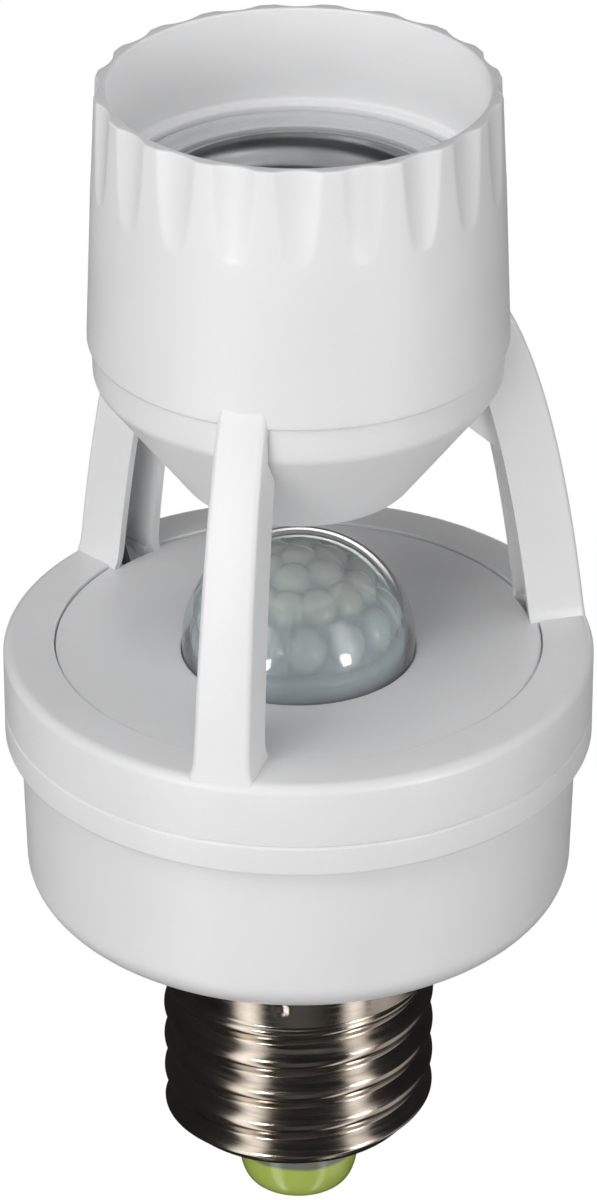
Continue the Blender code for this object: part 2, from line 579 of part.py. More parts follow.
def skirt_bore():
    """Return the hollow of the skirt: the mouth, the shelf's bore and the space above the cone."""
    below = SKIRT_BOTTOM_HEIGHT - OVERSHOOT
    above = SKIRT_TOP_HEIGHT + OVERSHOOT
    shelf_bottom = SHELF_HEIGHT - SHELF_THICKNESS
    return turned([(0.0, below), (SKIRT_BORE_RADIUS, below),
                   (SKIRT_BORE_RADIUS, BAND_TOP_HEIGHT + CONE_SPIGOT_RISE + GAP),
                   (MOUTH_BORE_RADIUS, shelf_bottom),
                   (SHELF_BORE_RADIUS, shelf_bottom), (SHELF_BORE_RADIUS, SHELF_HEIGHT),
                   (MOUTH_BORE_RADIUS, SHELF_HEIGHT),
                   (MOUTH_BORE_RADIUS, above), (0.0, above)],
                  SOCKET_FACETS)


def upper_frame():
    """Build the ring, the three channelled arms and the fluted skirt, moulded as one piece."""
    groove = [(RING_RADIUS, RING_GROOVE_HEIGHT - RING_GROOVE / 2),
              (RING_RADIUS - RING_GROOVE, RING_GROOVE_HEIGHT),
              (RING_RADIUS, RING_GROOVE_HEIGHT + RING_GROOVE / 2)]
    edge = quarter((RING_RADIUS, RING_TOP_HEIGHT - RING_EDGE), (RING_RADIUS - RING_EDGE, RING_TOP_HEIGHT), 2, False)
    profile = [(RING_BORE_RADIUS, RING_BOTTOM_HEIGHT), (RING_RADIUS - RING_GROOVE, RING_BOTTOM_HEIGHT),
               (RING_RADIUS, RING_BOTTOM_HEIGHT + RING_GROOVE), *groove,
               (RING_RADIUS, RING_TOP_HEIGHT - RING_EDGE), *edge, (RING_RADIUS - RING_EDGE, RING_TOP_HEIGHT),
               (SEAT_OUTER_RADIUS, RING_TOP_HEIGHT), (SEAT_OUTER_RADIUS, SEAT_HEIGHT),
               (SEAT_INNER_RADIUS, SEAT_HEIGHT), (SEAT_INNER_RADIUS, SEAT_BOTTOM_HEIGHT),
               (RING_BORE_RADIUS, SEAT_BOTTOM_HEIGHT)]
    frame = place("upper_frame", turned(profile, HOUSING_FACETS), WHITE_PLASTIC)
    bars = operand("arm_bars", arms(), WHITE_PLASTIC)
    skirt = operand("skirt_plug", skirt_body(), WHITE_PLASTIC)
    combine(skirt, operand("skirt_bore", skirt_bore(), WHITE_PLASTIC), "DIFFERENCE")
    combine(frame, bars, "UNION")
    combine(frame, skirt, "UNION")
    combine(frame, operand("arm_channels", arm_channels(), WHITE_PLASTIC), "DIFFERENCE")


def web_section(angle, across):
    """Return the outline of a cone web at one side of its arm's middle plane."""
    inset = CONE_WALL / 2
    outline = cone_outline()
    points = [(between(outline, WEB_ROOT_HEIGHT) - inset, WEB_ROOT_HEIGHT),
              (arm_inner_radius(WEB_FOOT_HEIGHT), WEB_FOOT_HEIGHT)]
    lead_room = ARM_SKIN + 2 * LEAD_RADIUS + 2 * GAP
    points.append((arm_outer_radius(WEB_FOOT_HEIGHT) - lead_room, WEB_FOOT_HEIGHT))
    for height in (WEB_ROOT_HEIGHT, SLOT_TOP_HEIGHT):
        points.append((arm_outer_radius(height) - lead_room - LEAD_BEND, height))
    for height in (SLOT_TOP_HEIGHT, BAND_BOTTOM_HEIGHT - GAP):
        points.append((arm_outer_radius(height) - ARM_SKIN - GAP, height))
    points.append((CONE_BAND_RADIUS - inset, BAND_BOTTOM_HEIGHT - GAP))
    return [polar(angle, radius, across, height) for radius, height in points]


def socket_cone():
    """Build the funnel under the socket, with three webs that plug into the arms and a slot for each lead."""
    foot_inner = CONE_FOOT_RADIUS - CONE_WALL
    floor_height = CONE_FOOT_HEIGHT + CONE_WALL
    ledge_height = INSERT_FLOOR_HEIGHT - GAP
    ledge_radius = INSERT_RADIUS - CONE_WALL / 2
    bore = INSERT_RADIUS + 2 * GAP
    spigot_radius = SKIRT_BORE_RADIUS - GAP
    spigot_top = BAND_TOP_HEIGHT + CONE_SPIGOT_RISE
    profile = [(0.0, CONE_FOOT_HEIGHT), (CONE_FOOT_RADIUS - CONE_FOOT_EDGE, CONE_FOOT_HEIGHT), *cone_outline(),
               (spigot_radius, BAND_TOP_HEIGHT), (spigot_radius, spigot_top), (bore, spigot_top),
               (bore, ledge_height), (ledge_radius, ledge_height), (foot_inner, floor_height), (0.0, floor_height)]
    cone = place("socket_cone", turned(profile, SOCKET_FACETS), WHITE_PLASTIC)
    webs = bmesh.new()
    slots = bmesh.new()
    for angle in ARM_ANGLES:
        lofted([web_section(angle, -WEB_WIDTH / 2), web_section(angle, WEB_WIDTH / 2)], webs)
        near = foot_inner
        far = arm_outer_radius(SLOT_BOTTOM_HEIGHT) + ARM_SKIN
        sections = []
        for height in (SLOT_BOTTOM_HEIGHT, SLOT_TOP_HEIGHT):
            corners = ((near, -SLOT_WIDTH / 2), (far, -SLOT_WIDTH / 2), (far, SLOT_WIDTH / 2), (near, SLOT_WIDTH / 2))
            sections.append([polar(angle, radius, across, height) for radius, across in corners])
        lofted(sections, slots)
    combine(cone, operand("cone_webs", webs, WHITE_PLASTIC), "UNION")
    combine(cone, operand("lead_slots", slots, WHITE_PLASTIC), "DIFFERENCE")


def threaded_rings(radius, depth, bottom, top, fade, phase, facets, rows_per_turn):
    """Return level rings from bottom to top whose radius swings with the helix of a knuckle thread."""
    rows = max(2, round((top - bottom) / THREAD_PITCH * rows_per_turn))
    rings = []
    for row in range(rows + 1):
        height = bottom + (top - bottom) * row / rows
        swell = min(1.0, (height - bottom) / fade, (top - height) / fade)
        ring = []
        for step in range(facets):
            angle = 2 * math.pi * step / facets
            wave = 0.5 + 0.5 * math.cos(2 * math.pi * (height - bottom) / THREAD_PITCH - angle + phase)
            ring.append((*ring_place(angle, radius + depth * wave * max(swell, 0.0)), height))
        rings.append(ring)
    return rings


def level_ring(radius, height, facets):
    """Return a plain ring of points at a height."""
    return [(*ring_place(2 * math.pi * step / facets, radius), height) for step in range(facets)]


def screw_shell():
    """Build the nickel screw cap: turned-in lip, rolled thread and a plain band under the housing."""
    facets = CAP_FACETS
    sections = [level_ring(CAP_LIP_RADIUS, CAP_LIP_HEIGHT, facets)]
    for radius, height in quarter((CAP_LIP_RADIUS, CAP_LIP_HEIGHT), (CAP_ROOT_RADIUS, CAP_THREAD_BOTTOM), 3, True):
        sections.append(level_ring(radius, height, facets))
    sections += threaded_rings(CAP_ROOT_RADIUS, CAP_THREAD_DEPTH, CAP_THREAD_BOTTOM, CAP_THREAD_TOP,
                               CAP_THREAD_FADE, CAP_CREST_PHASE, facets, CAP_ROWS_PER_TURN)
    sections.append(level_ring(CAP_ROOT_RADIUS, CAP_TOP_HEIGHT, facets))
    shell = place("screw_shell", lofted(sections), NICKEL, THREAD_CREASE_ANGLE)
    above = CAP_TOP_HEIGHT + OVERSHOOT
    below = CAP_LIP_HEIGHT - OVERSHOOT
    shoulder = CAP_THREAD_BOTTOM + CAP_LIP_THICKNESS
    bore = [(0.0, below), (CAP_LIP_RADIUS - GAP, below),
            (CAP_LIP_RADIUS - GAP, CAP_LIP_HEIGHT + CAP_LIP_THICKNESS),
            (INSULATOR_FLANGE_RADIUS + GAP, CAP_LIP_HEIGHT + 2 * CAP_LIP_THICKNESS),
            (CAP_BORE_RADIUS, shoulder), (CAP_BORE_RADIUS, above), (0.0, above)]
    combine(shell, operand("cap_bore", turned(bore, LENS_FACETS), NICKEL), "DIFFERENCE")


def cap_insulator():
    """Build the green insulator between the tip contact and the screw shell."""
    flange_bottom = CAP_LIP_HEIGHT + 2 * CAP_LIP_THICKNESS + GAP
    bore = TIP_STEM_RADIUS + GAP
    profile = [(bore, INSULATOR_FOOT_HEIGHT), (INSULATOR_FOOT_RADIUS, INSULATOR_FOOT_HEIGHT),
               *quarter((INSULATOR_FOOT_RADIUS, INSULATOR_FOOT_HEIGHT),
                        (INSULATOR_NECK_RADIUS, INSULATOR_NECK_HEIGHT), 3, True),
               (INSULATOR_NECK_RADIUS, INSULATOR_NECK_HEIGHT), (INSULATOR_NECK_RADIUS, flange_bottom),
               (INSULATOR_FLANGE_RADIUS, flange_bottom), (INSULATOR_FLANGE_RADIUS, INSULATOR_TOP_HEIGHT),
               (bore, INSULATOR_TOP_HEIGHT)]
    place("cap_insulator", turned(profile, SMALL_FACETS), GREEN_GLASS)


def tip_contact():
    """Build the brass tip contact with its stem."""
    profile = [(0.0, 0.0), (TIP_RADIUS - TIP_EDGE, 0.0), (TIP_RADIUS, TIP_EDGE), (TIP_RADIUS, TIP_THICKNESS),
               (TIP_STEM_RADIUS, TIP_THICKNESS), (TIP_STEM_RADIUS, TIP_STEM_HEIGHT), (0.0, TIP_STEM_HEIGHT)]
    place("tip_contact", turned(profile, SMALL_FACETS), BRASS)


def screw_bosses(bottom, top, hole_bottom, hole_top):
    """Return the bosses for the board screws, and the holes that go in them."""
    bosses = bmesh.new()
    holes = bmesh.new()
    for angle in SCREW_ANGLES:
        centre = ring_place(angle, SCREW_RING_RADIUS)
        rod(centre, BOSS_RADIUS, bottom, top, TINY_FACETS, bosses)
        rod(centre, SCREW_RADIUS + GAP, hole_bottom, hole_top, TINY_FACETS, holes)
    return bosses, holes


def lower_housing():
    """Build the white cup under the ring, with the neck that the screw cap is staked on."""
    fillet_radius = HOUSING_LOW_RADIUS - HOUSING_FILLET_ACROSS
    fillet_top = HOUSING_FLOOR_HEIGHT + HOUSING_FILLET_UP
    inner_low = HOUSING_LOW_RADIUS - HOUSING_WALL
    inner_fillet = inner_low - (HOUSING_FILLET_ACROSS - HOUSING_WALL)
    outer_curve = quarter((fillet_radius, HOUSING_FLOOR_HEIGHT), (HOUSING_LOW_RADIUS, fillet_top), 4, True)
    inner_curve = quarter((inner_low, fillet_top), (inner_fillet, FLOOR_TOP_HEIGHT), 2, False)
    profile = [(NECK_BORE_RADIUS, NECK_BOTTOM_HEIGHT), (NECK_RADIUS, NECK_BOTTOM_HEIGHT),
               (NECK_RADIUS, RECESS_HEIGHT), (RECESS_RADIUS, RECESS_HEIGHT), (RECESS_RADIUS, HOUSING_FLOOR_HEIGHT),
               (fillet_radius, HOUSING_FLOOR_HEIGHT), *outer_curve,
               (HOUSING_LOW_RADIUS, fillet_top), (HOUSING_TOP_RADIUS, RING_BOTTOM_HEIGHT),
               (HOUSING_TOP_RADIUS, SPIGOT_TOP_HEIGHT), (HOUSING_TOP_RADIUS - HOUSING_WALL, SPIGOT_TOP_HEIGHT),
               (inner_low, fillet_top), *inner_curve, (inner_fillet, FLOOR_TOP_HEIGHT),
               (NECK_BORE_RADIUS, FLOOR_TOP_HEIGHT)]
    cup = place("lower_housing", turned(profile, HOUSING_FACETS), WHITE_PLASTIC)
    top = POWER_BOARD_HEIGHT - GAP
    bosses, holes = screw_bosses(FLOOR_TOP_HEIGHT - HOUSING_WALL / 2, top, FLOOR_TOP_HEIGHT, top + GAP)
    combine(cup, operand("housing_bosses", bosses, WHITE_PLASTIC), "UNION")
    combine(cup, operand("housing_boss_holes", holes, WHITE_PLASTIC), "DIFFERENCE")


def sensor_plate():
    """Build the dished plate round the lens, notched for the arms and bossed for the control board."""
    rim = PLATE_RADIUS - PLATE_RIM
    low = PLATE_CENTRE_HEIGHT
    profile = [(LENS_HOLE_RADIUS, low), (PLATE_FLAT_RADIUS, low), (rim, PLATE_RIM_HEIGHT),
               (PLATE_RADIUS, PLATE_RIM_HEIGHT), (PLATE_RADIUS, PLATE_RIM_HEIGHT + PLATE_THICKNESS - GAP),
               (rim, PLATE_RIM_HEIGHT + PLATE_THICKNESS - GAP),
               (PLATE_FLAT_RADIUS, low + PLATE_THICKNESS), (LENS_HOLE_RADIUS, low + PLATE_THICKNESS)]
    plate = place("sensor_plate", turned(profile, SOCKET_FACETS), WHITE_PLASTIC)
    boss_bottom = CONTROL_BOARD_TOP + GAP
    underside = between([(low, PLATE_FLAT_RADIUS), (PLATE_RIM_HEIGHT, rim)], SCREW_RING_RADIUS)
    bosses, holes = screw_bosses(boss_bottom, underside + PLATE_THICKNESS / 2, boss_bottom - GAP, low)
    notches = bmesh.new()
    near = SEAT_INNER_RADIUS
    far = SEAT_OUTER_RADIUS + GAP
    half = ARM_FOOT_WIDTH / 2 + GAP
    for angle in ARM_ANGLES:
        sections = []
        for height in (low - GAP, PLATE_RIM_HEIGHT + PLATE_THICKNESS + GAP):
            corners = ((near, -half), (far, -half), (far, half), (near, half))
            sections.append([polar(angle, radius, across, height) for radius, across in corners])
        lofted(sections, notches)
    combine(plate, operand("plate_bosses", bosses, WHITE_PLASTIC), "UNION")
    combine(plate, operand("plate_boss_holes", holes, WHITE_PLASTIC), "DIFFERENCE")
    combine(plate, operand("plate_notches", notches, WHITE_PLASTIC), "DIFFERENCE")


def dome_lens():
    """Build the domed lens with its flange under the plate."""
    base = LENS_DOME_HEIGHT
    inside = LENS_RADIUS - LENS_WALL
    inner_top = LENS_TOP_HEIGHT - LENS_WALL
    profile = [(0.0, inner_top), *quarter((0.0, inner_top), (inside, base), 6, True), (inside, base),
               (inside, LENS_FLANGE_BOTTOM), (LENS_FLANGE_RADIUS, LENS_FLANGE_BOTTOM),
               (LENS_FLANGE_RADIUS, LENS_FLANGE_TOP), (LENS_RADIUS, LENS_FLANGE_TOP), (LENS_RADIUS, base),
               *quarter((LENS_RADIUS, base), (0.0, LENS_TOP_HEIGHT), 6, False), (0.0, LENS_TOP_HEIGHT)]
    place("dome_lens", turned(profile, LENS_FACETS), LENS_PLASTIC)


def lens_spacer():
    """Build the ring that stands on the control board and holds the lens up against its plate."""
    outer = LENS_FLANGE_RADIUS - GAP
    inner = outer - SPACER_WALL
    bottom, top = CONTROL_BOARD_TOP + GAP, LENS_FLANGE_BOTTOM - GAP
    profile = [(inner, bottom), (outer, bottom), (outer, top), (inner, top)]
    place("lens_spacer", turned(profile, SMALL_FACETS), BLACK_RESIN)


def boards():
    """Build the two round circuit boards, drilled for their screws."""
    for name, radius, bottom in (("control_board", CONTROL_BOARD_RADIUS, CONTROL_BOARD_HEIGHT),
                                 ("power_board", POWER_BOARD_RADIUS, POWER_BOARD_HEIGHT)):
        board = place(name, rod((0.0, 0.0), radius, bottom, bottom + BOARD_THICKNESS, LENS_FACETS), GREEN_BOARD)
        holes = bmesh.new()
        for angle in SCREW_ANGLES:
            rod(ring_place(angle, SCREW_RING_RADIUS), SCREW_RADIUS + GAP, bottom - GAP,
                bottom + BOARD_THICKNESS + GAP, TINY_FACETS, holes)
        combine(board, operand(name + "_holes", holes, GREEN_BOARD), "DIFFERENCE")


def screw(name, centre, seat, up):
    """Build one board screw whose head's inner face lies at the seat; up is +1 for a shank that rises."""
    head = SCREW_HEAD * -up
    shank = SCREW_LENGTH * up
    profile = [(0.0, seat + head), (SCREW_HEAD_CROWN_RADIUS, seat + head), (SCREW_HEAD_RADIUS, seat + head / 2),
               (SCREW_HEAD_RADIUS, seat), (SCREW_RADIUS, seat), (SCREW_RADIUS, seat + shank - SCREW_POINT * up),
               (0.0, seat + shank)]
    mesh = turned(profile, TINY_FACETS)
    bmesh.ops.translate(mesh, verts=mesh.verts, vec=(*centre, 0.0))
    place(name, mesh, STEEL)


def board_screws():
    """Build the four board screws: two up into the sensor plate and two down into the lower housing."""
    for number, angle in enumerate(SCREW_ANGLES, start=1):
        centre = ring_place(angle, SCREW_RING_RADIUS)
        screw(f"control_board_screw_{number}", centre, CONTROL_BOARD_HEIGHT - GAP, 1)
        screw(f"power_board_screw_{number}", centre, POWER_BOARD_TOP + GAP, -1)


def motion_sensor():
    """Build the metal can of the motion sensor and the dark filter window set in its top."""
    bottom = CONTROL_BOARD_TOP + GAP
    top = bottom + SENSOR_CAN_HEIGHT
    edge = SENSOR_WINDOW_THICKNESS
    profile = [(0.0, bottom), (SENSOR_CAN_RADIUS, bottom), (SENSOR_CAN_RADIUS, bottom + edge),
               (SENSOR_CAN_RADIUS - edge, bottom + edge), (SENSOR_CAN_RADIUS - edge, top - edge / 2),
               (SENSOR_CAN_RADIUS - 1.5 * edge, top), (0.0, top)]
    can = place("sensor_can", turned(profile, SMALL_FACETS), STEEL)
    window = SENSOR_WINDOW + 2 * GAP
    recess = block((0.0, 0.0, top), (window, window, 2 * SENSOR_WINDOW_THICKNESS))
    combine(can, operand("window_recess", recess, STEEL), "DIFFERENCE")
    middle = top + GAP - SENSOR_WINDOW_THICKNESS / 2
    place("sensor_window", block((0.0, 0.0, middle), (SENSOR_WINDOW, SENSOR_WINDOW, SENSOR_WINDOW_THICKNESS)),
          BLACK_RESIN)


def light_sensor():
    """Build the small daylight sensor beside the motion sensor."""
    bottom = CONTROL_BOARD_TOP + GAP
    mesh = rod((LIGHT_SENSOR_X, 0.0), LIGHT_SENSOR_RADIUS, bottom, bottom + LIGHT_SENSOR_RADIUS, TINY_FACETS)
    place("light_sensor", mesh, YELLOW_RESIN)


def board_place(shares):
    """Return the (x, y) of a place given as shares of the power board's radius."""
    return shares[0] * POWER_BOARD_RADIUS, shares[1] * POWER_BOARD_RADIUS


def on_power_board(name, shares, foot, height, finish):
    """Build a box-shaped part that stands on the power board."""
    middle = POWER_BOARD_TOP + GAP + height / 2
    place(name, block((*board_place(shares), middle), (*foot, height), PART_EDGE), finish)


def storage_capacitor():
    """Build the upright can of the storage capacitor, with the groove rolled in above its foot."""
    base = POWER_BOARD_TOP + GAP
    top = base + TALL_PART_HEIGHT
    radius = STORE_CAPACITOR_RADIUS
    edge = PART_EDGE
    profile = [(0.0, base), (radius, base), (radius, base + 2 * edge), (radius - edge, base + 3 * edge),
               (radius, base + 4 * edge), (radius, top - edge), (radius - edge, top), (0.0, top)]
    mesh = turned(profile, SMALL_FACETS)
    bmesh.ops.translate(mesh, verts=mesh.verts, vec=(*board_place(STORE_CAPACITOR_PLACE), 0.0))
    place("storage_capacitor", mesh, BLUE_RESIN)


def fuse_resistor():
    """Build the fuse resistor that lies on the power board, necked at both ends."""
    half = FUSE_LENGTH / 2
    neck = half - FUSE_NECK
    profile = [(0.0, -half), (FUSE_NECK_RADIUS, -half), (FUSE_RADIUS, -neck), (FUSE_RADIUS, neck),
               (FUSE_NECK_RADIUS, half), (0.0, half)]
    mesh = turned(profile, TINY_FACETS)
    bmesh.ops.rotate(mesh, verts=mesh.verts, cent=(0, 0, 0), matrix=Matrix.Rotation(math.pi / 2, 3, "X"))
    height = POWER_BOARD_TOP + GAP + FUSE_RADIUS
    bmesh.ops.translate(mesh, verts=mesh.verts, vec=(*board_place(FUSE_PLACE), height))
    place("fuse_resistor", mesh, BLUE_RESIN)


def board_parts():
    """Build the parts that stand on the power board and the chip under the control board."""
    on_power_board("relay", RELAY_PLACE, RELAY_FOOT, TALL_PART_HEIGHT, BLACK_RESIN)
    on_power_board("film_capacitor", FILM_CAPACITOR_PLACE, FILM_CAPACITOR_FOOT, TALL_PART_HEIGHT, YELLOW_RESIN)
    on_power_board("rectifier", RECTIFIER_PLACE, RECTIFIER_FOOT, RECTIFIER_HEIGHT, BLACK_RESIN)
    storage_capacitor()
    fuse_resistor()
    middle = CHIP_BOTTOM_HEIGHT + CHIP_SIZE[2] / 2
    place("control_chip", block((*board_place(CHIP_PLACE), middle), CHIP_SIZE, CHIP_SIZE[2] / 5), BLACK_RESIN)


def board_header():
    """Build the pin header that joins the two boards."""
    low = POWER_BOARD_TOP + GAP + TALL_PART_HEIGHT / 2
    reach = CONTROL_BOARD_HEIGHT - GAP
    x, y = board_place(HEADER_PLACE)
    header = place("board_header", block((x, y, low), (*HEADER_FOOT, TALL_PART_HEIGHT)), BLACK_RESIN)
    pins = bmesh.new()
    pitch = HEADER_FOOT[1] / HEADER_PINS
    thickness = pitch / 4
    for number in range(HEADER_PINS):
        across = y + (number - (HEADER_PINS - 1) / 2) * pitch
        block((x, across, (low + reach) / 2), (thickness, thickness, reach - low), 0.0, pins)
    combine(header, operand("header_pins", pins, STEEL), "UNION")


def socket_insert():
    """Build the insulating cup that carries the socket's metal parts."""
    step_height = INSERT_TOP_HEIGHT - INSERT_STEP
    flange_bottom = INSERT_TOP_HEIGHT - INSERT_FLANGE
    step_radius = (INSERT_FLANGE_RADIUS + INSERT_BORE_RADIUS) / 2
    profile = [(0.0, INSERT_FLOOR_HEIGHT), (INSERT_RADIUS, INSERT_FLOOR_HEIGHT), (INSERT_RADIUS, flange_bottom),
               (INSERT_FLANGE_RADIUS, flange_bottom), (INSERT_FLANGE_RADIUS, INSERT_TOP_HEIGHT),
               (step_radius, INSERT_TOP_HEIGHT), (step_radius - GAP, step_height), (INSERT_BORE_RADIUS, step_height),
               (INSERT_BORE_RADIUS, FLOOR_FACE_HEIGHT), (0.0, FLOOR_FACE_HEIGHT)]
    insert = place("socket_insert", turned(profile, LENS_FACETS), CREAM_PLASTIC)
    holes = bmesh.new()
    for centre in rivet_places():
        rod(centre, RIVET_RADIUS + GAP, INSERT_FLOOR_HEIGHT - GAP, FLOOR_FACE_HEIGHT + GAP, TINY_FACETS, holes)
    combine(insert, operand("rivet_holes", holes, CREAM_PLASTIC), "DIFFERENCE")


def rivet_places():
    """Return the (x, y) of the contact's rivet and of the shell's rivet."""
    flange_middle = (SHELL_FLANGE_RADIUS + SHELL_CREST_RADIUS + SHELL_THREAD_DEPTH) / 2
    return (CONTACT_ROOT_X, 0.0), ring_place(SHELL_RIVET_ANGLE, flange_middle)


def rivet(name, centre, grip_top):
    """Build one rivet through the insert's floor, its upper head closing on a sheet that ends at grip_top."""
    foot = INSERT_FLOOR_HEIGHT - GAP
    profile = [(0.0, foot - RIVET_HEAD), (RIVET_HEAD_RADIUS, foot - RIVET_HEAD / 2), (RIVET_HEAD_RADIUS, foot),
               (RIVET_RADIUS, foot), (RIVET_RADIUS, grip_top), (RIVET_HEAD_RADIUS, grip_top),
               (RIVET_HEAD_RADIUS, grip_top + RIVET_HEAD / 2), (0.0, grip_top + RIVET_HEAD)]
    mesh = turned(profile, TINY_FACETS)
    bmesh.ops.translate(mesh, verts=mesh.verts, vec=(*centre, 0.0))
    place(name, mesh, BRASS)


def socket_shell():
    """Build the threaded socket shell, its foot flange riveted to the insert's floor."""
    facets = LENS_FACETS
    bottom = FLOOR_FACE_HEIGHT + GAP
    top = SHELF_HEIGHT - SHELL_TOP_DROP
    shell = place("socket_shell", rod((0.0, 0.0), SHELL_WALL_RADIUS, bottom, top, facets), NICKEL)
    thread_bottom = top - (top - bottom) * SHELL_THREAD_SHARE
    low = bottom + SHELL_SHEET
    wide = SHELL_CREST_RADIUS + SHELL_THREAD_DEPTH
    bore = [level_ring(wide, low, facets), level_ring(wide, thread_bottom - SHELL_SHEET, facets)]
    for ring in threaded_rings(SHELL_CREST_RADIUS, SHELL_THREAD_DEPTH, thread_bottom, top + SHELL_SHEET,
                               SHELL_THREAD_START, 0.0, facets, SHELL_ROWS_PER_TURN):
        bore.append(ring)
    combine(shell, operand("socket_bore", lofted(bore), NICKEL), "DIFFERENCE")
    eye = rod((0.0, 0.0), SHELL_FLANGE_RADIUS, bottom - SHELL_SHEET, low + SHELL_SHEET, facets)
    rod(rivet_places()[1], RIVET_RADIUS + GAP, bottom - SHELL_SHEET, low + SHELL_SHEET, TINY_FACETS, eye)
    combine(shell, operand("flange_eye", eye, NICKEL), "DIFFERENCE")


def centre_contact():
    """Build the sprung strip that meets a lamp's tip; its origin is on the axis that it tilts about."""
    sheet = CONTACT_SHEET
    root_low = -sheet / 2
    pad_low = root_low + CONTACT_RISE
    root_end = -CONTACT_ROOT_HALF
    pad_near = -CONTACT_ROOT_X + CONTACT_PAD_HALF
    pad_far = -CONTACT_ROOT_X - CONTACT_PAD_HALF
    tail = pad_far - CONTACT_TAIL
    line = [(CONTACT_ROOT_HALF, root_low), (root_end, root_low), (pad_near, pad_low), (pad_far, pad_low),
            (tail, pad_low - CONTACT_TAIL)]
    outline = line + [(x, z + sheet) for x, z in reversed(line)]
    half = CONTACT_WIDTH / 2
    mesh = lofted([[(x, -half, z) for x, z in outline], [(x, half, z) for x, z in outline]])
    strip = place("centre_contact", mesh, BRASS, SHEET_CREASE_ANGLE)
    strip.location = (CONTACT_ROOT_X, 0.0, CONTACT_AXIS_HEIGHT)
    hole = operand("contact_hole", rod((CONTACT_ROOT_X, 0.0), RIVET_RADIUS + GAP, CONTACT_HEIGHT - SPRING_GAP,
                                       CONTACT_HEIGHT + sheet + SPRING_GAP, TINY_FACETS), BRASS)
    combine(strip, hole, "DIFFERENCE")


def smooth_path(stops, per_stop=4):
    """Return points on one smooth curve through the stops."""
    stops = [Vector(stop) for stop in stops]
    ends = [2 * stops[0] - stops[1], *stops, 2 * stops[-1] - stops[-2]]
    points = []
    for before, start, end, after in zip(ends[:-3], ends[1:-2], ends[2:-1], ends[3:]):
        for step in range(per_stop):
            t = step / per_stop
            points.append(0.5 * (2 * start + (end - before) * t + (2 * before - 5 * start + 4 * end - after) * t ** 2
                                 + (3 * start - before - 3 * end + after) * t ** 3))
    return points + [stops[-1]]


def lead(name, stops, radius, finish, per_stop=3):
    """Build an insulated lead as a round tube along a smooth curve through its stops."""
    curve = bpy.data.curves.new(name, "CURVE")
    curve.dimensions = "3D"
    curve.bevel_depth = radius
    curve.bevel_resolution = 1
    curve.use_fill_caps = True
    points = smooth_path(stops, per_stop)
    line = curve.splines.new("POLY")
    line.points.add(len(points) - 1)
    for target, point in zip(line.points, points):
        target.co = (*point, 1.0)
    curve.materials.append(material(finish))
    piece = bpy.data.objects.new(name, curve)
    bpy.context.scene.collection.objects.link(piece)


def arm_leads():
    """Build the two leads that climb the arms' channels from the control board to the socket's rivets."""
    slot_middle = (SLOT_BOTTOM_HEIGHT + SLOT_TOP_HEIGHT) / 2
    inset = ARM_SKIN + GAP + LEAD_RADIUS
    foot_margin, head_margin = LEAD_CLIMB_MARGINS
    climb_start = RING_TOP_HEIGHT + foot_margin
    climb_end = WEB_ROOT_HEIGHT - head_margin
    for number, (angle, target) in enumerate(zip(LEAD_ANGLES, rivet_places()), start=1):
        stops = [polar(angle, CONTROL_BOARD_RADIUS - LEAD_EDGE_INSET, 0.0, CONTROL_BOARD_TOP + GAP),
                 polar(angle, CONTROL_BOARD_RADIUS - LEAD_EDGE_INSET / 2, 0.0, SEAT_BOTTOM_HEIGHT - LEAD_SEAT_DROP)]
        for step in range(LEAD_CLIMB_STEPS + 1):
            height = climb_start + (climb_end - climb_start) * step / LEAD_CLIMB_STEPS
            stops.append(polar(angle, arm_outer_radius(height) - inset - GAP / 2, 0.0, height))
        stops.append(polar(angle, arm_outer_radius(WEB_ROOT_HEIGHT) - inset - 2 * GAP, 0.0, SLOT_BOTTOM_HEIGHT))
        stops.append(polar(angle, arm_outer_radius(slot_middle) - inset - LEAD_BEND - 2 * GAP, 0.0, slot_middle))
        wall = between(cone_outline(), slot_middle)
        for depth in (0.0, 1.5 * CONE_WALL, 3.0 * CONE_WALL):
            stops.append(polar(angle, wall - depth, 0.0, slot_middle))
        stops.append((*target, INSERT_FLOOR_HEIGHT - 2 * GAP - RIVET_HEAD - LEAD_RADIUS))
        lead(f"arm_lead_{number}", stops, LEAD_RADIUS, BLACK_RESIN if number == 1 else BLUE_RESIN, 2)


def cap_leads():
    """Build the lead to the tip contact and the lead to the screw shell."""
    top = POWER_BOARD_HEIGHT - GAP
    lead("tip_lead", [(0.0, 0.0, TIP_STEM_HEIGHT + GAP), (-TIP_LEAD_LEAN / 2, 0.0, NECK_BOTTOM_HEIGHT),
                      (-TIP_LEAD_LEAN, 0.0, HOUSING_FLOOR_HEIGHT), (-TIP_LEAD_LEAN, 0.0, top)],
         CAP_LEAD_RADIUS, BLACK_RESIN)
    inside = NECK_BORE_RADIUS - GAP - CAP_LEAD_RADIUS
    under = NECK_BOTTOM_HEIGHT - GAP - CAP_LEAD_RADIUS
    lead("shell_lead", [(CAP_BORE_RADIUS - GAP, 0.0, under), (inside + GAP, 0.0, under),
                        (inside - GAP, 0.0, NECK_BOTTOM_HEIGHT + 2 * CAP_LEAD_RADIUS),
                        (inside - GAP, 0.0, HOUSING_FLOOR_HEIGHT), (inside - GAP - SHELL_LEAD_LEAN, 0.0, top)],
         CAP_LEAD_RADIUS, BLUE_RESIN)


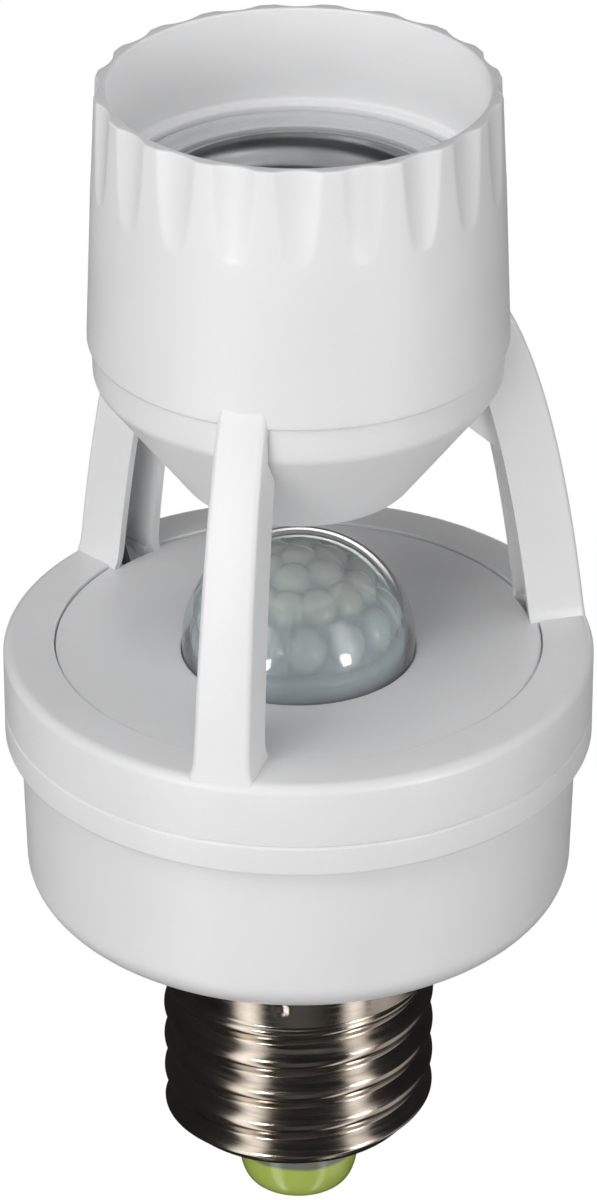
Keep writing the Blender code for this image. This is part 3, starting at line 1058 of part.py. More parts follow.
def main():
    """Build the whole adaptor."""
    clear_scene()
    tip_contact()
    cap_insulator()
    screw_shell()
    lower_housing()
    upper_frame()
    socket_cone()
    sensor_plate()
    dome_lens()
    lens_spacer()
    boards()
    board_screws()
    motion_sensor()
    light_sensor()
    board_parts()
    board_header()
    socket_insert()
    socket_shell()
    centre_contact()
    contact_place, shell_place = rivet_places()
    rivet("contact_rivet", contact_place, CONTACT_HEIGHT + CONTACT_SHEET + SPRING_GAP)
    rivet("shell_rivet", shell_place, FLOOR_FACE_HEIGHT + SHELL_SHEET + 2 * GAP)
    arm_leads()
    cap_leads()


main()
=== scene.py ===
"""Looks of the motion-sensing lamp-holder adaptor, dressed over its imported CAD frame.

Each sub-assembly is a class that holds its sizes in millimetres, builds its surfaces with numpy and dresses
them. The frame is in metres, with the tip contact's lower face at the origin and +Z up the axis to the
socket's mouth.
"""

import logging
import math
from dataclasses import dataclass, field
from enum import Enum
from typing import Any

import bmesh
import bpy
import numpy as np
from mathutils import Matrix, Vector


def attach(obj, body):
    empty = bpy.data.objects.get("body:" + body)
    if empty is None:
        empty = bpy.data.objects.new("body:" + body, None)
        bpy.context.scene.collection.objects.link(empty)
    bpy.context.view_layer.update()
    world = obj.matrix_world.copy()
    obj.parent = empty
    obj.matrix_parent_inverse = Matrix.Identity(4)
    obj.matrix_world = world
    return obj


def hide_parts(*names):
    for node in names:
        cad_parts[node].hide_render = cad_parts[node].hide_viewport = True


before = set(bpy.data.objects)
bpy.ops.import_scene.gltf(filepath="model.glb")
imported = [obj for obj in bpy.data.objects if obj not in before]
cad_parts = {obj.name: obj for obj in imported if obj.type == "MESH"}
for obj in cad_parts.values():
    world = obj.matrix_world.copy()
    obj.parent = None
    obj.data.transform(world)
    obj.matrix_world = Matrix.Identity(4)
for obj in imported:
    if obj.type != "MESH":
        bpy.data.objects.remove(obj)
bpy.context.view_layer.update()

Array = np.ndarray
Colour = tuple[float, float, float]
Span = tuple[float, float]
Socket = bpy.types.NodeSocket
MM = 0.001
MERGE_DISTANCE = 2e-6
MIDDLE_HEIGHT = 0.065
WHITE_LIGHT = (1.0, 1.0, 1.0, 1.0)
HOUSING_BODY = "housing"
CONTACT_BODY = "contact"
LOG = logging.getLogger("adaptor")


class Crease(Enum):
    """How sharp an edge may be, in radians, before it stops being shaded smooth."""

    SOFT = math.radians(35.0)
    SHEET = math.radians(55.0)


# Surfaces


def smooth_step(value: Array) -> Array:
    """Return the S-shaped blend 3t^2 - 2t^3 of a value held between 0 and 1."""
    held = np.clip(value, 0.0, 1.0)
    return held * held * (3.0 - 2.0 * held)


def rounded(corners: Array, fillets: Array, steps: int = 7, closed: bool = True) -> Array:
    """Round the corners of one outline, or of a stack of outlines.

    A corner C turns into the rational quadratic curve from A to B. A and B lie on the corner's sides at the
    fillet's distances from C, and C has the weight cos(turn / 2). Equal distances give a circular arc, and
    unequal ones at a right angle give a quarter of an ellipse.

    Args:
        corners: Corner points, shaped (..., corners, 2).
        fillets: Distances from each corner along the side before and the side after, shaped (corners, 2).
        steps: Points on each corner's curve.
        closed: Whether the last corner joins the first.

    Returns:
        The points, shaped (..., corners * steps, 2).
    """
    reach = np.array(fillets, dtype=float)
    if not closed:
        reach[0] = reach[-1] = 0.0
    into = corners - np.roll(corners, 1, axis=-2)
    out = np.roll(corners, -1, axis=-2) - corners
    into_length = np.maximum(np.linalg.norm(into, axis=-1, keepdims=True), 1e-9)
    out_length = np.maximum(np.linalg.norm(out, axis=-1, keepdims=True), 1e-9)
    into, out = into / into_length, out / out_length
    bend = np.sum(into * out, axis=-1, keepdims=True)
    weight = np.sqrt(np.clip((1.0 + bend) / 2.0, 0.0, 1.0))[..., None, :]
    start = (corners - into * np.minimum(reach[:, :1], into_length))[..., None, :]
    end = (corners + out * np.minimum(reach[:, 1:], out_length))[..., None, :]
    share = np.linspace(0.0, 1.0, steps)[:, None]
    low, middle, high = (1.0 - share) ** 2, 2.0 * share * (1.0 - share) * weight, share ** 2
    curve = (low * start + middle * corners[..., None, :] + high * end) / (low + middle + high)
    return curve.reshape(*corners.shape[:-2], -1, 2)


def outline(rows: list[tuple[float, ...]], steps: int = 7, closed: bool = True) -> Array:
    """Return a rounded outline in metres from rows typed in millimetres.

    Args:
        rows: One row for each corner: radius, height, and then no fillet, one fillet or two.
        steps: Points on each corner's curve.
        closed: Whether the last corner joins the first.

    Returns:
        Points (radius, height), shaped (corners * steps, 2).
    """
    corners = np.array([row[:2] for row in rows])
    fillets = np.array([((row[2:] or (0.0,)) * 2)[:2] for row in rows])
    return rounded(corners, fillets, steps, closed) * MM


def round_axis(radius: Array, height: Array, angle: Array) -> Array:
    """Return the points (r cos a, r sin a, z) at radii, heights and angles, with a last axis of three."""
    return np.stack(np.broadcast_arrays(radius * np.cos(angle), radius * np.sin(angle), height), axis=-1)


def turned(profile: Array, angles: Array) -> Array:
    """Spin a profile round the axis: (r, z) at the angle a lands at (r cos a, r sin a, z).

    Args:
        profile: Points (radius, height), shaped (rows, 2).
        angles: Angles of the columns.

    Returns:
        A grid of points, shaped (rows, columns, 3).
    """
    return round_axis(profile[:, :1], profile[:, 1:], angles)


def full_turn(columns: int) -> Array:
    """Return the angles of evenly spaced columns once round the axis."""
    return 2.0 * math.pi * np.arange(columns) / columns


def laid_out(angle: float, along: Array, across: Array, height: Array) -> Array:
    """Turn points that lie along and across a direction into points of the frame.

    Args:
        angle: Direction from the axis, in radians.
        along: Distances from the axis in that direction.
        across: Distances sideways.
        height: Heights.

    Returns:
        The points, with a last axis of three.
    """
    along, across, height = np.broadcast_arrays(along, across, height)
    return np.stack([along * math.cos(angle) - across * math.sin(angle),
                     along * math.sin(angle) + across * math.cos(angle), height], axis=-1)


@dataclass
class Skin:
    """The patches of one mesh, gathered before the mesh is made."""

    points: list[Array] = field(default_factory=list)
    faces: list[Array] = field(default_factory=list)
    count: int = 0

    def add(self, grid: Array, wrap_rows: bool = False, wrap_columns: bool = True) -> "Skin":
        """Add a grid of points as a patch of quads.

        Args:
            grid: Points, shaped (rows, columns, 3).
            wrap_rows: Whether the last row joins the first.
            wrap_columns: Whether the last column joins the first.

        Returns:
            This skin.
        """
        rows, columns = grid.shape[:2]
        row = np.arange(rows if wrap_rows else rows - 1)[:, None]
        column = np.arange(columns if wrap_columns else columns - 1)[None, :]
        next_row, next_column = (row + 1) % rows, (column + 1) % columns
        quads = np.stack([row * columns + column, row * columns + next_column,
                          next_row * columns + next_column, next_row * columns + column], axis=-1)
        self.points.append(grid.reshape(-1, 3))
        self.faces.append(quads.reshape(-1, 4) + self.count)
        self.count += rows * columns
        return self

    def add_walls(self, outer: Array, inner: Array) -> "Skin":
        """Add a wall between two grids of the same shape, closed along all four borders.

        Args:
            outer: Points of one face, shaped (rows, columns, 3).
            inner: Points of the other face, in the same shape.

        Returns:
            This skin.
        """
        loop = np.stack([outer, inner], axis=0)
        self.add(outer, wrap_columns=False)
        self.add(inner, wrap_columns=False)
        self.add(loop[:, 0], wrap_columns=False)
        self.add(loop[:, -1], wrap_columns=False)
        self.add(loop[:, :, 0], wrap_columns=False)
        self.add(loop[:, :, -1], wrap_columns=False)
        return self

    def build(self, name: str, crease: Crease = Crease.SOFT) -> bpy.types.Object:
        """Make the mesh object: doubles merged, normals outwards, smooth but for its creases.

        Args:
            name: Name of the piece.
            crease: How sharp an edge may be before it stops being smooth.

        Returns:
            The object, at the origin.
        """
        data = bpy.data.meshes.new(name)
        data.from_pydata(np.concatenate(self.points).tolist(), [], np.concatenate(self.faces).tolist())
        mesh = bmesh.new()
        mesh.from_mesh(data)
        bmesh.ops.remove_doubles(mesh, verts=mesh.verts, dist=MERGE_DISTANCE)
        loose = [edge for edge in mesh.edges if not edge.link_faces]
        bmesh.ops.delete(mesh, geom=loose, context="EDGES")
        bmesh.ops.recalc_face_normals(mesh, faces=mesh.faces)
        mesh.to_mesh(data)
        mesh.free()
        data.shade_smooth()
        data.set_sharp_from_angle(angle=crease.value)
        piece = bpy.data.objects.new(name, data)
        bpy.context.scene.collection.objects.link(piece)
        return piece


def points_of(piece: bpy.types.Object) -> Array:
    """Return the places of a mesh object's points, shaped (points, 3)."""
    places = np.empty(len(piece.data.vertices) * 3)
    piece.data.vertices.foreach_get("co", places)
    return places.reshape(-1, 3)


def mark_points(piece: bpy.types.Object, name: str, values: Array) -> None:
    """Store one value for each point of a mesh object as an attribute of this name."""
    piece.data.attributes.new(name, "FLOAT", "POINT").data.foreach_set("value", values)


# Finishes


@dataclass
class NodeBoard:
    """A short way to lay nodes out in a node tree."""

    tree: bpy.types.NodeTree

    def add(self, kind: str, inputs: dict[Any, Any] | None = None, **settings: Any) -> bpy.types.Node:
        """Lay one node.

        Args:
            kind: The node's type name.
            inputs: Values or sockets for its inputs, by name or number.
            settings: Values for its own settings.

        Returns:
            The node.
        """
        node = self.tree.nodes.new(kind)
        for key, value in settings.items():
            setattr(node, key, value)
        for key, value in (inputs or {}).items():
            if isinstance(value, Socket):
                self.tree.links.new(value, node.inputs[key])
            else:
                node.inputs[key].default_value = value
        return node

    def ramp(self, factor: Socket, stops: list[tuple[float, Colour]]) -> Socket:
        """Return the colour that a ramp gives to a factor.

        Args:
            factor: The factor.
            stops: Place and colour of each stop, two of them or more.

        Returns:
            The ramp's colour.
        """
        node = self.add("ShaderNodeValToRGB", {0: factor})
        elements = node.color_ramp.elements
        while len(elements) < len(stops):
            elements.new(0.5)
        for element, (place, colour) in zip(elements, stops):
            element.position = place
            element.color = (*colour, 1.0)
        return node.outputs[0]

    def spread(self, factor: Socket, source: Span, target: Span) -> Socket:
        """Return a factor moved from one range of values to another."""
        node = self.add("ShaderNodeMapRange", {0: factor, 1: source[0], 2: source[1],
                                               3: target[0], 4: target[1]})
        return node.outputs[0]

    def place(self) -> Socket:
        """Return the Object coordinates."""
        return self.add("ShaderNodeTexCoord").outputs["Object"]

    def height(self) -> Socket:
        """Return the height above the tip contact, read from Object coordinates."""
        return self.add("ShaderNodeSeparateXYZ", {0: self.place()}).outputs["Z"]

    def noise(self, scale: float, detail: float = 2.0, squeeze: float = 1.0) -> Socket:
        """Return the strength of a noise on Object coordinates.

        Args:
            scale: Repeats in a metre.
            detail: Octaves of the noise.
            squeeze: How many times finer it is along the axis than across it.

        Returns:
            The noise's factor.
        """
        mapped = self.add("ShaderNodeMapping", {"Vector": self.place(), "Scale": (1.0, 1.0, squeeze)})
        inputs = {"Vector": mapped.outputs[0], "Scale": scale, "Detail": detail}
        return self.add("ShaderNodeTexNoise", inputs).outputs[0]

    def bump(self, strength: float, distance: float, height: Socket) -> Socket:
        """Return the normal that a height gives, with the bump's strength and its distance in metres."""
        inputs = {"Strength": strength, "Distance": distance, "Height": height}
        return self.add("ShaderNodeBump", inputs).outputs[0]

    def mix(self, factor: Socket | float, first: bpy.types.Node, second: bpy.types.Node) -> bpy.types.Node:
        """Lay a mix of two shaders: the first where the factor is 0, and the second where it is 1."""
        return self.add("ShaderNodeMixShader", {0: factor, 1: first.outputs[0], 2: second.outputs[0]})

    def surface(self, shader: bpy.types.Node) -> None:
        """Link a shader to the material's surface."""
        self.tree.links.new(shader.outputs[0], self.tree.nodes["Material Output"].inputs["Surface"])


def shaded(name: str, inputs: dict[str, Any]) -> tuple[bpy.types.Material, NodeBoard, bpy.types.Node]:
    """Start a material.

    Args:
        name: The material's name.
        inputs: Values for its Principled shader's inputs, by name.

    Returns:
        The material, its node board and its Principled shader.
    """
    made = bpy.data.materials.new(name)
    made.use_nodes = True
    board = NodeBoard(made.node_tree)
    shader = made.node_tree.nodes["Principled BSDF"]
    for key, value in inputs.items():
        shader.inputs[key].default_value = value
    return made, board, shader


def wire(board: NodeBoard, shader: bpy.types.Node, links: dict[str, Socket]) -> None:
    """Link sockets to a shader's inputs.

    Args:
        board: The board of the shader's tree.
        shader: The shader.
        links: Sockets by the name of the input that each one feeds.
    """
    for key, socket in links.items():
        board.tree.links.new(socket, shader.inputs[key])


def dimmed(colour: Colour, share: float) -> Colour:
    """Return a colour with every channel multiplied by a share."""
    return tuple(share * channel for channel in colour)


@dataclass(frozen=True)
class MouldedPlastic:
    """Semi-gloss moulded plastic with a faint grain, soft sink marks and a trace of light under its skin."""

    colour: Colour
    roughness: float = 0.36
    glow: float = 0.06
    relief: float = 0.12
    grain_scale: float = 2600.0
    sink_scale: float = 70.0
    sink_share: float = 0.965

    def material(self, name: str) -> bpy.types.Material:
        """Return the material: fine noise as grain, broad noise in its roughness and colour."""
        made, board, shader = shaded(name, {"Subsurface Weight": self.glow, "Subsurface Scale": 0.0012,
                                            "Subsurface Radius": (1.0, 0.9, 0.8), "IOR": 1.49})
        broad = board.noise(self.sink_scale)
        rough = (self.roughness - 0.05, self.roughness + 0.07)
        sunk = dimmed(self.colour, self.sink_share)
        wire(board, shader, {
            "Base Color": board.ramp(broad, [(0.3, sunk), (0.7, self.colour)]),
            "Normal": board.bump(self.relief, 0.06 * MM, board.noise(self.grain_scale, 3.0)),
            "Roughness": board.spread(broad, (0.25, 0.75), rough)})
        return made


@dataclass(frozen=True)
class RolledMetal:
    """Plated or bare sheet metal with fine lines that run round the axis, and a little tarnish."""

    colour: Colour
    tarnish: Colour
    roughness: float = 0.18
    relief: float = 0.15
    line_scale: float = 55.0
    line_squeeze: float = 70.0
    tarnish_scale: float = 160.0

    def material(self, name: str) -> bpy.types.Material:
        """Return the material: noise squeezed along the axis as lines, broad noise as tarnish."""
        made, board, shader = shaded(name, {"Metallic": 1.0})
        lines = board.noise(self.line_scale, 4.0, self.line_squeeze)
        cloud = board.noise(self.tarnish_scale, 4.0)
        rough = (self.roughness - 0.05, self.roughness + 0.08)
        wire(board, shader, {
            "Base Color": board.ramp(cloud, [(0.35, self.tarnish), (0.62, self.colour)]),
            "Normal": board.bump(self.relief, 0.03 * MM, lines),
            "Roughness": board.spread(lines, (0.3, 0.7), rough)})
        return made


@dataclass(frozen=True)
class PressedGlass:
    """Green insulating glass, darker at its foot as painted shade, that turns dark grey near its top where it
    enters the metal cap.
    """

    colour: Colour
    shade: Colour
    collar: Colour
    edge: float = 4.8 * MM
    swirl: float = 0.2 * MM
    swirl_scale: float = 400.0

    def material(self, name: str) -> bpy.types.Material:
        """Return the material: colour by height with a sharp edge, swirled a little, under a glassy coat."""
        made, board, shader = shaded(name, {"Roughness": 0.22, "IOR": 1.5, "Subsurface Weight": 0.35,
                                            "Subsurface Scale": 0.0025, "Coat Weight": 0.8,
                                            "Coat Roughness": 0.05})
        wave = board.spread(board.noise(self.swirl_scale), (0.0, 1.0), (-self.swirl, self.swirl))
        level = board.add("ShaderNodeMath", {0: board.height(), 1: wave}, operation="ADD").outputs[0]
        share = board.spread(level, (0.0, self.edge / 0.7), (0.0, 1.0))
        # painted shade: darker green at the glass's foot; the last stop turns it dark grey near its top
        stops = [(0.12, self.shade), (0.35, self.colour), (0.67, self.colour), (0.72, self.collar)]
        wire(board, shader, {"Base Color": board.ramp(share, stops)})
        return made


@dataclass(frozen=True)
class MilkyLens:
    """Milky lens plastic: a bluish band at its foot, a teal lowest row of cells and greyer ones above, with
    painted shade in the cells' sunk borders.
    """

    band: Colour
    low: Colour
    high: Colour
    sunk_shade: Colour = (0.68, 0.70, 0.74)
    foot: float = 61.4 * MM
    head: float = 70.5 * MM
    cloud_scale: float = 300.0

    def material(self, name: str) -> bpy.types.Material:
        """Return the material: colour by height, darkened by painted shade where the cells' borders sink,
        over a cloudy noise.
        """
        made, board, shader = shaded(name, {"Subsurface Weight": 0.2, "Subsurface Scale": 0.001, "IOR": 1.5,
                                            "Coat Weight": 0.3, "Coat Roughness": 0.1})
        share = board.spread(board.height(), (self.foot, self.head), (0.0, 1.0))
        tint = board.ramp(share, [(0.10, self.band), (0.17, self.low), (0.42, self.low), (0.70, self.high)])
        cloud = board.noise(self.cloud_scale, 3.0)
        depth = board.add("ShaderNodeAttribute", attribute_name="sunk_shade_depth").outputs["Fac"]
        # painted shade: the colour darkens with the depth of the cells' sunk borders
        shade = board.ramp(depth, [(0.35, (1.0, 1.0, 1.0)), (0.95, self.sunk_shade)])
        mixed = board.add("ShaderNodeMix", {0: 1.0, 6: tint, 7: shade},
                          data_type="RGBA", blend_type="MULTIPLY")
        wire(board, shader, {"Base Color": mixed.outputs[2], "Normal": board.bump(0.1, 0.1 * MM, cloud),
                             "Roughness": board.spread(cloud, (0.3, 0.7), (0.22, 0.32))})
        return made


@dataclass(frozen=True)
class ClearShell:
    """The clear outer skin of the lens: light passes through it and its gloss grows at a glancing angle."""

    tint: Colour
    haze: float = 0.15
    gloss: float = 0.06
    milk: Colour = (0.66, 0.68, 0.68)
    mirror: Colour = (0.95, 0.97, 0.98)
    cloud_scale: float = 500.0

    def material(self, name: str) -> bpy.types.Material:
        """Return the material: clear with a little haze, under a gloss of g + (1 - g) facing^5."""
        made, board, shader = shaded(name, {"Metallic": 1.0, "Base Color": (*self.mirror, 1.0)})
        cloud = board.noise(self.cloud_scale)
        wire(board, shader, {"Normal": board.bump(0.03, 0.05 * MM, cloud),
                             "Roughness": board.spread(cloud, (0.3, 0.7), (0.03, 0.07))})
        clear = board.add("ShaderNodeBsdfTransparent", {"Color": (*self.tint, 1.0)})
        milk = board.add("ShaderNodeBsdfDiffuse", {"Color": (*self.milk, 1.0)})
        facing = board.add("ShaderNodeLayerWeight", {"Blend": 0.5}).outputs["Facing"]
        steep = board.add("ShaderNodeMath", {0: facing, 1: 5.0}, operation="POWER").outputs[0]
        factor = board.spread(steep, (0.0, 1.0), (self.gloss, 1.0))
        board.surface(board.mix(factor, board.mix(self.haze, clear, milk), shader))
        return made


@dataclass(frozen=True)
class CircuitLaminate:
    """Green board with paler copper runs under its lacquer."""

    colour: Colour
    runs: Colour
    run_scale: float = 260.0
    run_width: float = 0.05
    weave_scale: float = 1800.0

    def material(self, name: str) -> bpy.types.Material:
        """Return the material: the joints of a brick pattern as copper runs, with a woven bump."""
        made, board, shader = shaded(name, {"Coat Weight": 0.3, "Coat Roughness": 0.2})
        bricks = board.add("ShaderNodeTexBrick", {
            "Vector": board.place(), "Scale": self.run_scale, "Mortar Size": self.run_width,
            "Color1": (*self.colour, 1.0), "Color2": (*dimmed(self.colour, 0.8), 1.0),
            "Mortar": (*self.runs, 1.0)})
        weave = board.noise(self.weave_scale)
        wire(board, shader, {"Base Color": bricks.outputs[0], "Normal": board.bump(0.15, 0.05 * MM, weave),
                             "Roughness": board.spread(weave, (0.3, 0.7), (0.35, 0.55))})
        return made


@dataclass(frozen=True)
class CastResin:
    """Resin of the small parts and the leads' sleeves: one colour, finely mottled."""

    colour: Colour
    roughness: float = 0.42
    mottle_scale: float = 900.0
    mottle_share: float = 0.82

    def material(self, name: str) -> bpy.types.Material:
        """Return the material: mottled by a fine noise in colour, roughness and bump."""
        made, board, shader = shaded(name, {"IOR": 1.5})
        mottle = board.noise(self.mottle_scale, 3.0)
        rough = (self.roughness - 0.06, self.roughness + 0.08)
        dark = dimmed(self.colour, self.mottle_share)
        wire(board, shader, {
            "Base Color": board.ramp(mottle, [(0.3, dark), (0.7, self.colour)]),
            "Normal": board.bump(0.2, 0.04 * MM, mottle),
            "Roughness": board.spread(mottle, (0.3, 0.7), rough)})
        return made


class Finish(Enum):
    """Every finish of the adaptor: the record's material slot that it belongs to, and how it is made."""

    WHITE = ("white_plastic", MouldedPlastic((0.88, 0.88, 0.885)))
    # the cream insert, coloured a darker grey as painted shade deep inside the skirt's mouth
    SHADED_CREAM = ("cream_plastic", MouldedPlastic((0.60, 0.61, 0.62), 0.45, 0.04))
    # painted highlight: white plastic stands in for the glint on the cap's staked square
    STAKE_HIGHLIGHT = ("white_plastic", MouldedPlastic((0.86, 0.86, 0.85), 0.5, 0.0, 0.3))
    NICKEL = ("nickel", RolledMetal((0.64, 0.59, 0.53), (0.48, 0.43, 0.38), 0.16))
    SOCKET = ("nickel", RolledMetal((0.56, 0.58, 0.59), (0.44, 0.46, 0.47), 0.38))
    SOLDER = ("brass", RolledMetal((0.55, 0.55, 0.52), (0.42, 0.41, 0.38), 0.35, 0.4))
    BRASS = ("brass", RolledMetal((0.78, 0.62, 0.32), (0.60, 0.44, 0.20), 0.28))
    STEEL = ("steel", RolledMetal((0.62, 0.62, 0.62), (0.48, 0.47, 0.46), 0.28))
    GLASS = ("green_glass", PressedGlass((0.50, 0.63, 0.13), (0.40, 0.50, 0.09), (0.22, 0.23, 0.20)))
    LENS = ("lens_plastic", MilkyLens((0.50, 0.56, 0.61), (0.82, 0.90, 0.90), (0.84, 0.85, 0.80)))
    CLEAR = ("lens_plastic", ClearShell((0.94, 0.96, 0.96)))
    SLEEVE = ("blue_resin", CastResin((0.12, 0.125, 0.135)))
    BOARD = ("green_board", CircuitLaminate((0.03, 0.20, 0.08), (0.12, 0.38, 0.16)))
    BLACK = ("black_resin", CastResin((0.022, 0.022, 0.022)))
    BLUE = ("blue_resin", CastResin((0.05, 0.16, 0.42)))
    YELLOW = ("yellow_resin", CastResin((0.62, 0.42, 0.05)))

    def material(self) -> bpy.types.Material:
        """Return this finish's material, made once."""
        name = self.name.lower() + "_finish"
        return bpy.data.materials.get(name) or self.value[1].material(name)

    @property
    def slot(self) -> str:
        """The record's material slot."""
        return self.value[0]


def dress(piece: bpy.types.Object, finish: Finish, body: str, *nodes: str) -> bpy.types.Object:
    """Give a piece its finish and its body, hide the CAD nodes that it stands for, and log it with its slot.

    Args:
        piece: The mesh object.
        finish: Its finish, which also names the record's slot.
        body: The body that it moves with.
        nodes: The CAD nodes that it replaces.

    Returns:
        The piece.
    """
    piece.data.materials.append(finish.material())
    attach(piece, body)
    if nodes:
        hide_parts(*nodes)
    LOG.info("%s: %d faces, %s", piece.name, len(piece.data.polygons), finish.slot)
    return piece


# Sub-assemblies; their sizes are in millimetres


@dataclass(frozen=True)
class ArmLine:
    """The curve that the three arms' outer faces follow from the ring up to the skirt."""

    angles: tuple[float, ...] = (-105.0, 15.0, 135.0)
    foot_height: float = 60.0
    head_height: float = 94.2
    foot_radius: float = 27.74
    head_radius: float = 19.65
    start: float = math.radians(30.0)
    end: float = math.radians(71.0)

    def outer(self, height: Array) -> Array:
        """Return the outer radius at heights: a stretch of an ellipse, run on straight above it."""
        low, high = math.sin(self.start), math.sin(self.end)
        share = (height - self.foot_height) / (self.head_height - self.foot_height)
        held = np.clip(share, 0.0, 1.0)
        turn = np.arcsin(low + (high - low) * held)
        across = (self.foot_radius - self.head_radius) / (math.cos(self.start) - math.cos(self.end))
        up = (self.head_height - self.foot_height) / (high - low)
        beyond = np.maximum(height - self.head_height, 0.0) * across / up * math.tan(self.end)
        return self.head_radius + across * (np.cos(turn) - math.cos(self.end)) - beyond

    def windows(self, half_angle: float, plain: int, inside: int) -> tuple[Array, Array]:
        """Return the angles of columns round the axis, doubled at the edges of a window behind each arm.

        Args:
            half_angle: Half the width of a window, in degrees.
            plain: Columns between two windows.
            inside: Columns in a window.

        Returns:
            The angles, and whether each column lies in a window.
        """
        centres = np.radians(self.angles)[:, None]
        half = math.radians(half_angle)
        step = 2.0 * math.pi / len(self.angles)
        window = centres + np.linspace(-half, half, inside)
        between = centres + np.linspace(half, step - half, plain)
        mask = np.concatenate([np.ones_like(window), np.zeros_like(between)], axis=1).astype(bool)
        return np.concatenate([window, between], axis=1).ravel(), mask.ravel()


ARM_LINE = ArmLine()


@dataclass
class ScrewCap:
    """The nickel screw cap with its thread, the glass insulator and the tip button."""

    pitch: float = 3.629
    root_radius: float = 12.05
    depth: float = 1.05
    sheet: float = 0.45
    sheet_lift: float = 2.0
    lip_radius: float = 7.3
    lip_height: float = 8.2
    lip_power: float = 1.3
    crest_height: float = 10.0
    runout: float = 0.6
    runout_turn: float = 300.0
    thread_top: float = 27.0
    top_height: float = 34.4
    fade: float = 0.8
    top_fade: float = 1.8
    sharpness: float = 0.7
    columns: int = 240
    lip_rows: int = 12
    thread_rows: int = 124
    neck_rows: int = 26
    neck_radius: float = 12.75
    neck_start: float = 24.6
    neck_rise: float = 1.6
    stake_angle: float = 262.4
    stake_height: float = 27.7
    stake_half: float = 0.5
    stake_depth: float = 0.22
    stake_side: float = 0.18
    plug_foot: float = 11.35
    plug_edge: float = 11.63
    plug_rise: float = 0.38
    plug_share: float = 0.95
    glass_bore: float = 1.5
    glass_foot: float = 1.0
    glass_radius: float = 5.9
    flange_bottom: float = 9.5
    flange_top: float = 11.5
    flange_radius: float = 9.6
    button_radius: float = 3.7
    button_top: float = 0.7
    stem_radius: float = 1.2
    stem_top: float = 11.0

    def thread_foot(self, angle: Array) -> Array:
        """Return where the thread starts at an angle: up with the helix, and back down at the run-out."""
        turn = np.mod(np.degrees(angle) - 180.0, 360.0)
        climb = turn / 360.0 * self.pitch
        back = self.runout_turn / 360.0 * self.pitch * (360.0 - turn) / (360.0 - self.runout_turn)
        return self.crest_height - self.runout + np.where(turn < self.runout_turn, climb, back)

    def stake_highlight(self, angle: Array, height: Array) -> Array:
        """Return how far the staked square is pushed in: a flat-bottomed dent with steep sides."""
        across = np.abs(np.mod(np.degrees(angle) - self.stake_angle + 180.0, 360.0) - 180.0)
        across = np.radians(across) * self.root_radius
        far = np.maximum(across, np.abs(height - self.stake_height))
        return self.stake_depth * smooth_step((self.stake_half + self.stake_side - far) / self.stake_side)

    def sheet_grid(self) -> Array:
        """Return the outer face of the shell from the lip up to its top edge.

        The lip swells from its edge as r = lip + (root - lip) sin(t)^q while z falls short of the thread's
        foot by cos(t). Above it r = root + depth w^p s, where w is a cosine wave of height less angle that
        makes the helix, the power p narrows its troughs, and s fades the thread in and out. From the neck's
        start up, r is raised to the neck's radius where it falls short of it. The staked square is then
        pushed in.

        Returns:
            A grid of points in metres, shaped (rows, columns, 3).
        """
        angle = full_turn(self.columns)[None, :]
        foot = self.thread_foot(angle)
        turn = np.linspace(0.0, math.pi / 2, self.lip_rows)[:-1, None]
        lip = self.lip_radius + (self.root_radius - self.lip_radius) * np.sin(turn) ** self.lip_power
        lip = lip + 0.0 * angle
        lip_height = foot - (foot - self.lip_height) * np.cos(turn)
        share = np.linspace(0.0, 1.0, self.thread_rows)[:, None]
        height = foot + (self.thread_top - foot) * share
        neck = np.linspace(self.thread_top, self.top_height, self.neck_rows)[1:, None] + 0.0 * angle
        height = np.concatenate([height, neck])
        phase = 2.0 * math.pi * (height - self.crest_height) / self.pitch - (angle - math.pi)
        wave = 0.5 + 0.5 * np.cos(phase)
        swell = smooth_step((height - foot) / self.fade)
        swell = swell * smooth_step((self.thread_top - height) / self.top_fade)
        radius = self.root_radius + self.depth * wave ** self.sharpness * swell
        neck_share = smooth_step((height - self.neck_start) / self.neck_rise)
        radius = radius + np.maximum(self.neck_radius - radius, 0.0) * neck_share - self.stake_highlight(angle, height)
        radius, height = np.concatenate([lip, radius]), np.concatenate([lip_height, height])
        return round_axis(radius, height, angle) * MM

    def shell(self) -> bpy.types.Object:
        """Build the shell: the outer face, and an inner face one sheet's thickness further in and up."""
        outer = self.sheet_grid()
        radius = np.hypot(outer[..., 0], outer[..., 1])
        inset = self.sheet * MM / radius
        inward = (self.root_radius * MM - radius) / (self.sheet_lift * MM)
        lift = self.sheet * MM * np.clip(inward, 0.0, 1.0)
        inner = outer * np.stack([1.0 - inset, 1.0 - inset, np.ones_like(inset)], axis=-1)
        inner[..., 2] += np.minimum(lift, (self.top_height * MM - inner[..., 2]))
        skin = Skin().add(np.concatenate([outer, inner[::-1]]), wrap_rows=True)
        return skin.build("screw_cap_shell", Crease.SHEET)

    def stake_highlight_plug(self) -> bpy.types.Object:
        """Build the white plastic that shows in the staked square as a painted highlight: a pillow (1 -
        u^4)(1 - v^4) high.
        """
        share = np.linspace(-1.0, 1.0, 15)
        u, v = share[:, None], share[None, :]
        rise = (1.0 - u ** 4) * (1.0 - v ** 4)
        half = self.stake_half * self.plug_share
        angle = math.radians(self.stake_angle)
        height = self.stake_height + half * u
        outer = laid_out(angle, self.plug_edge + self.plug_rise * rise, half * v, height)
        inner = laid_out(angle, self.plug_foot + 0.0 * rise, half * v, height)
        return Skin().add_walls(outer * MM, inner * MM).build("stake_highlight_plug")

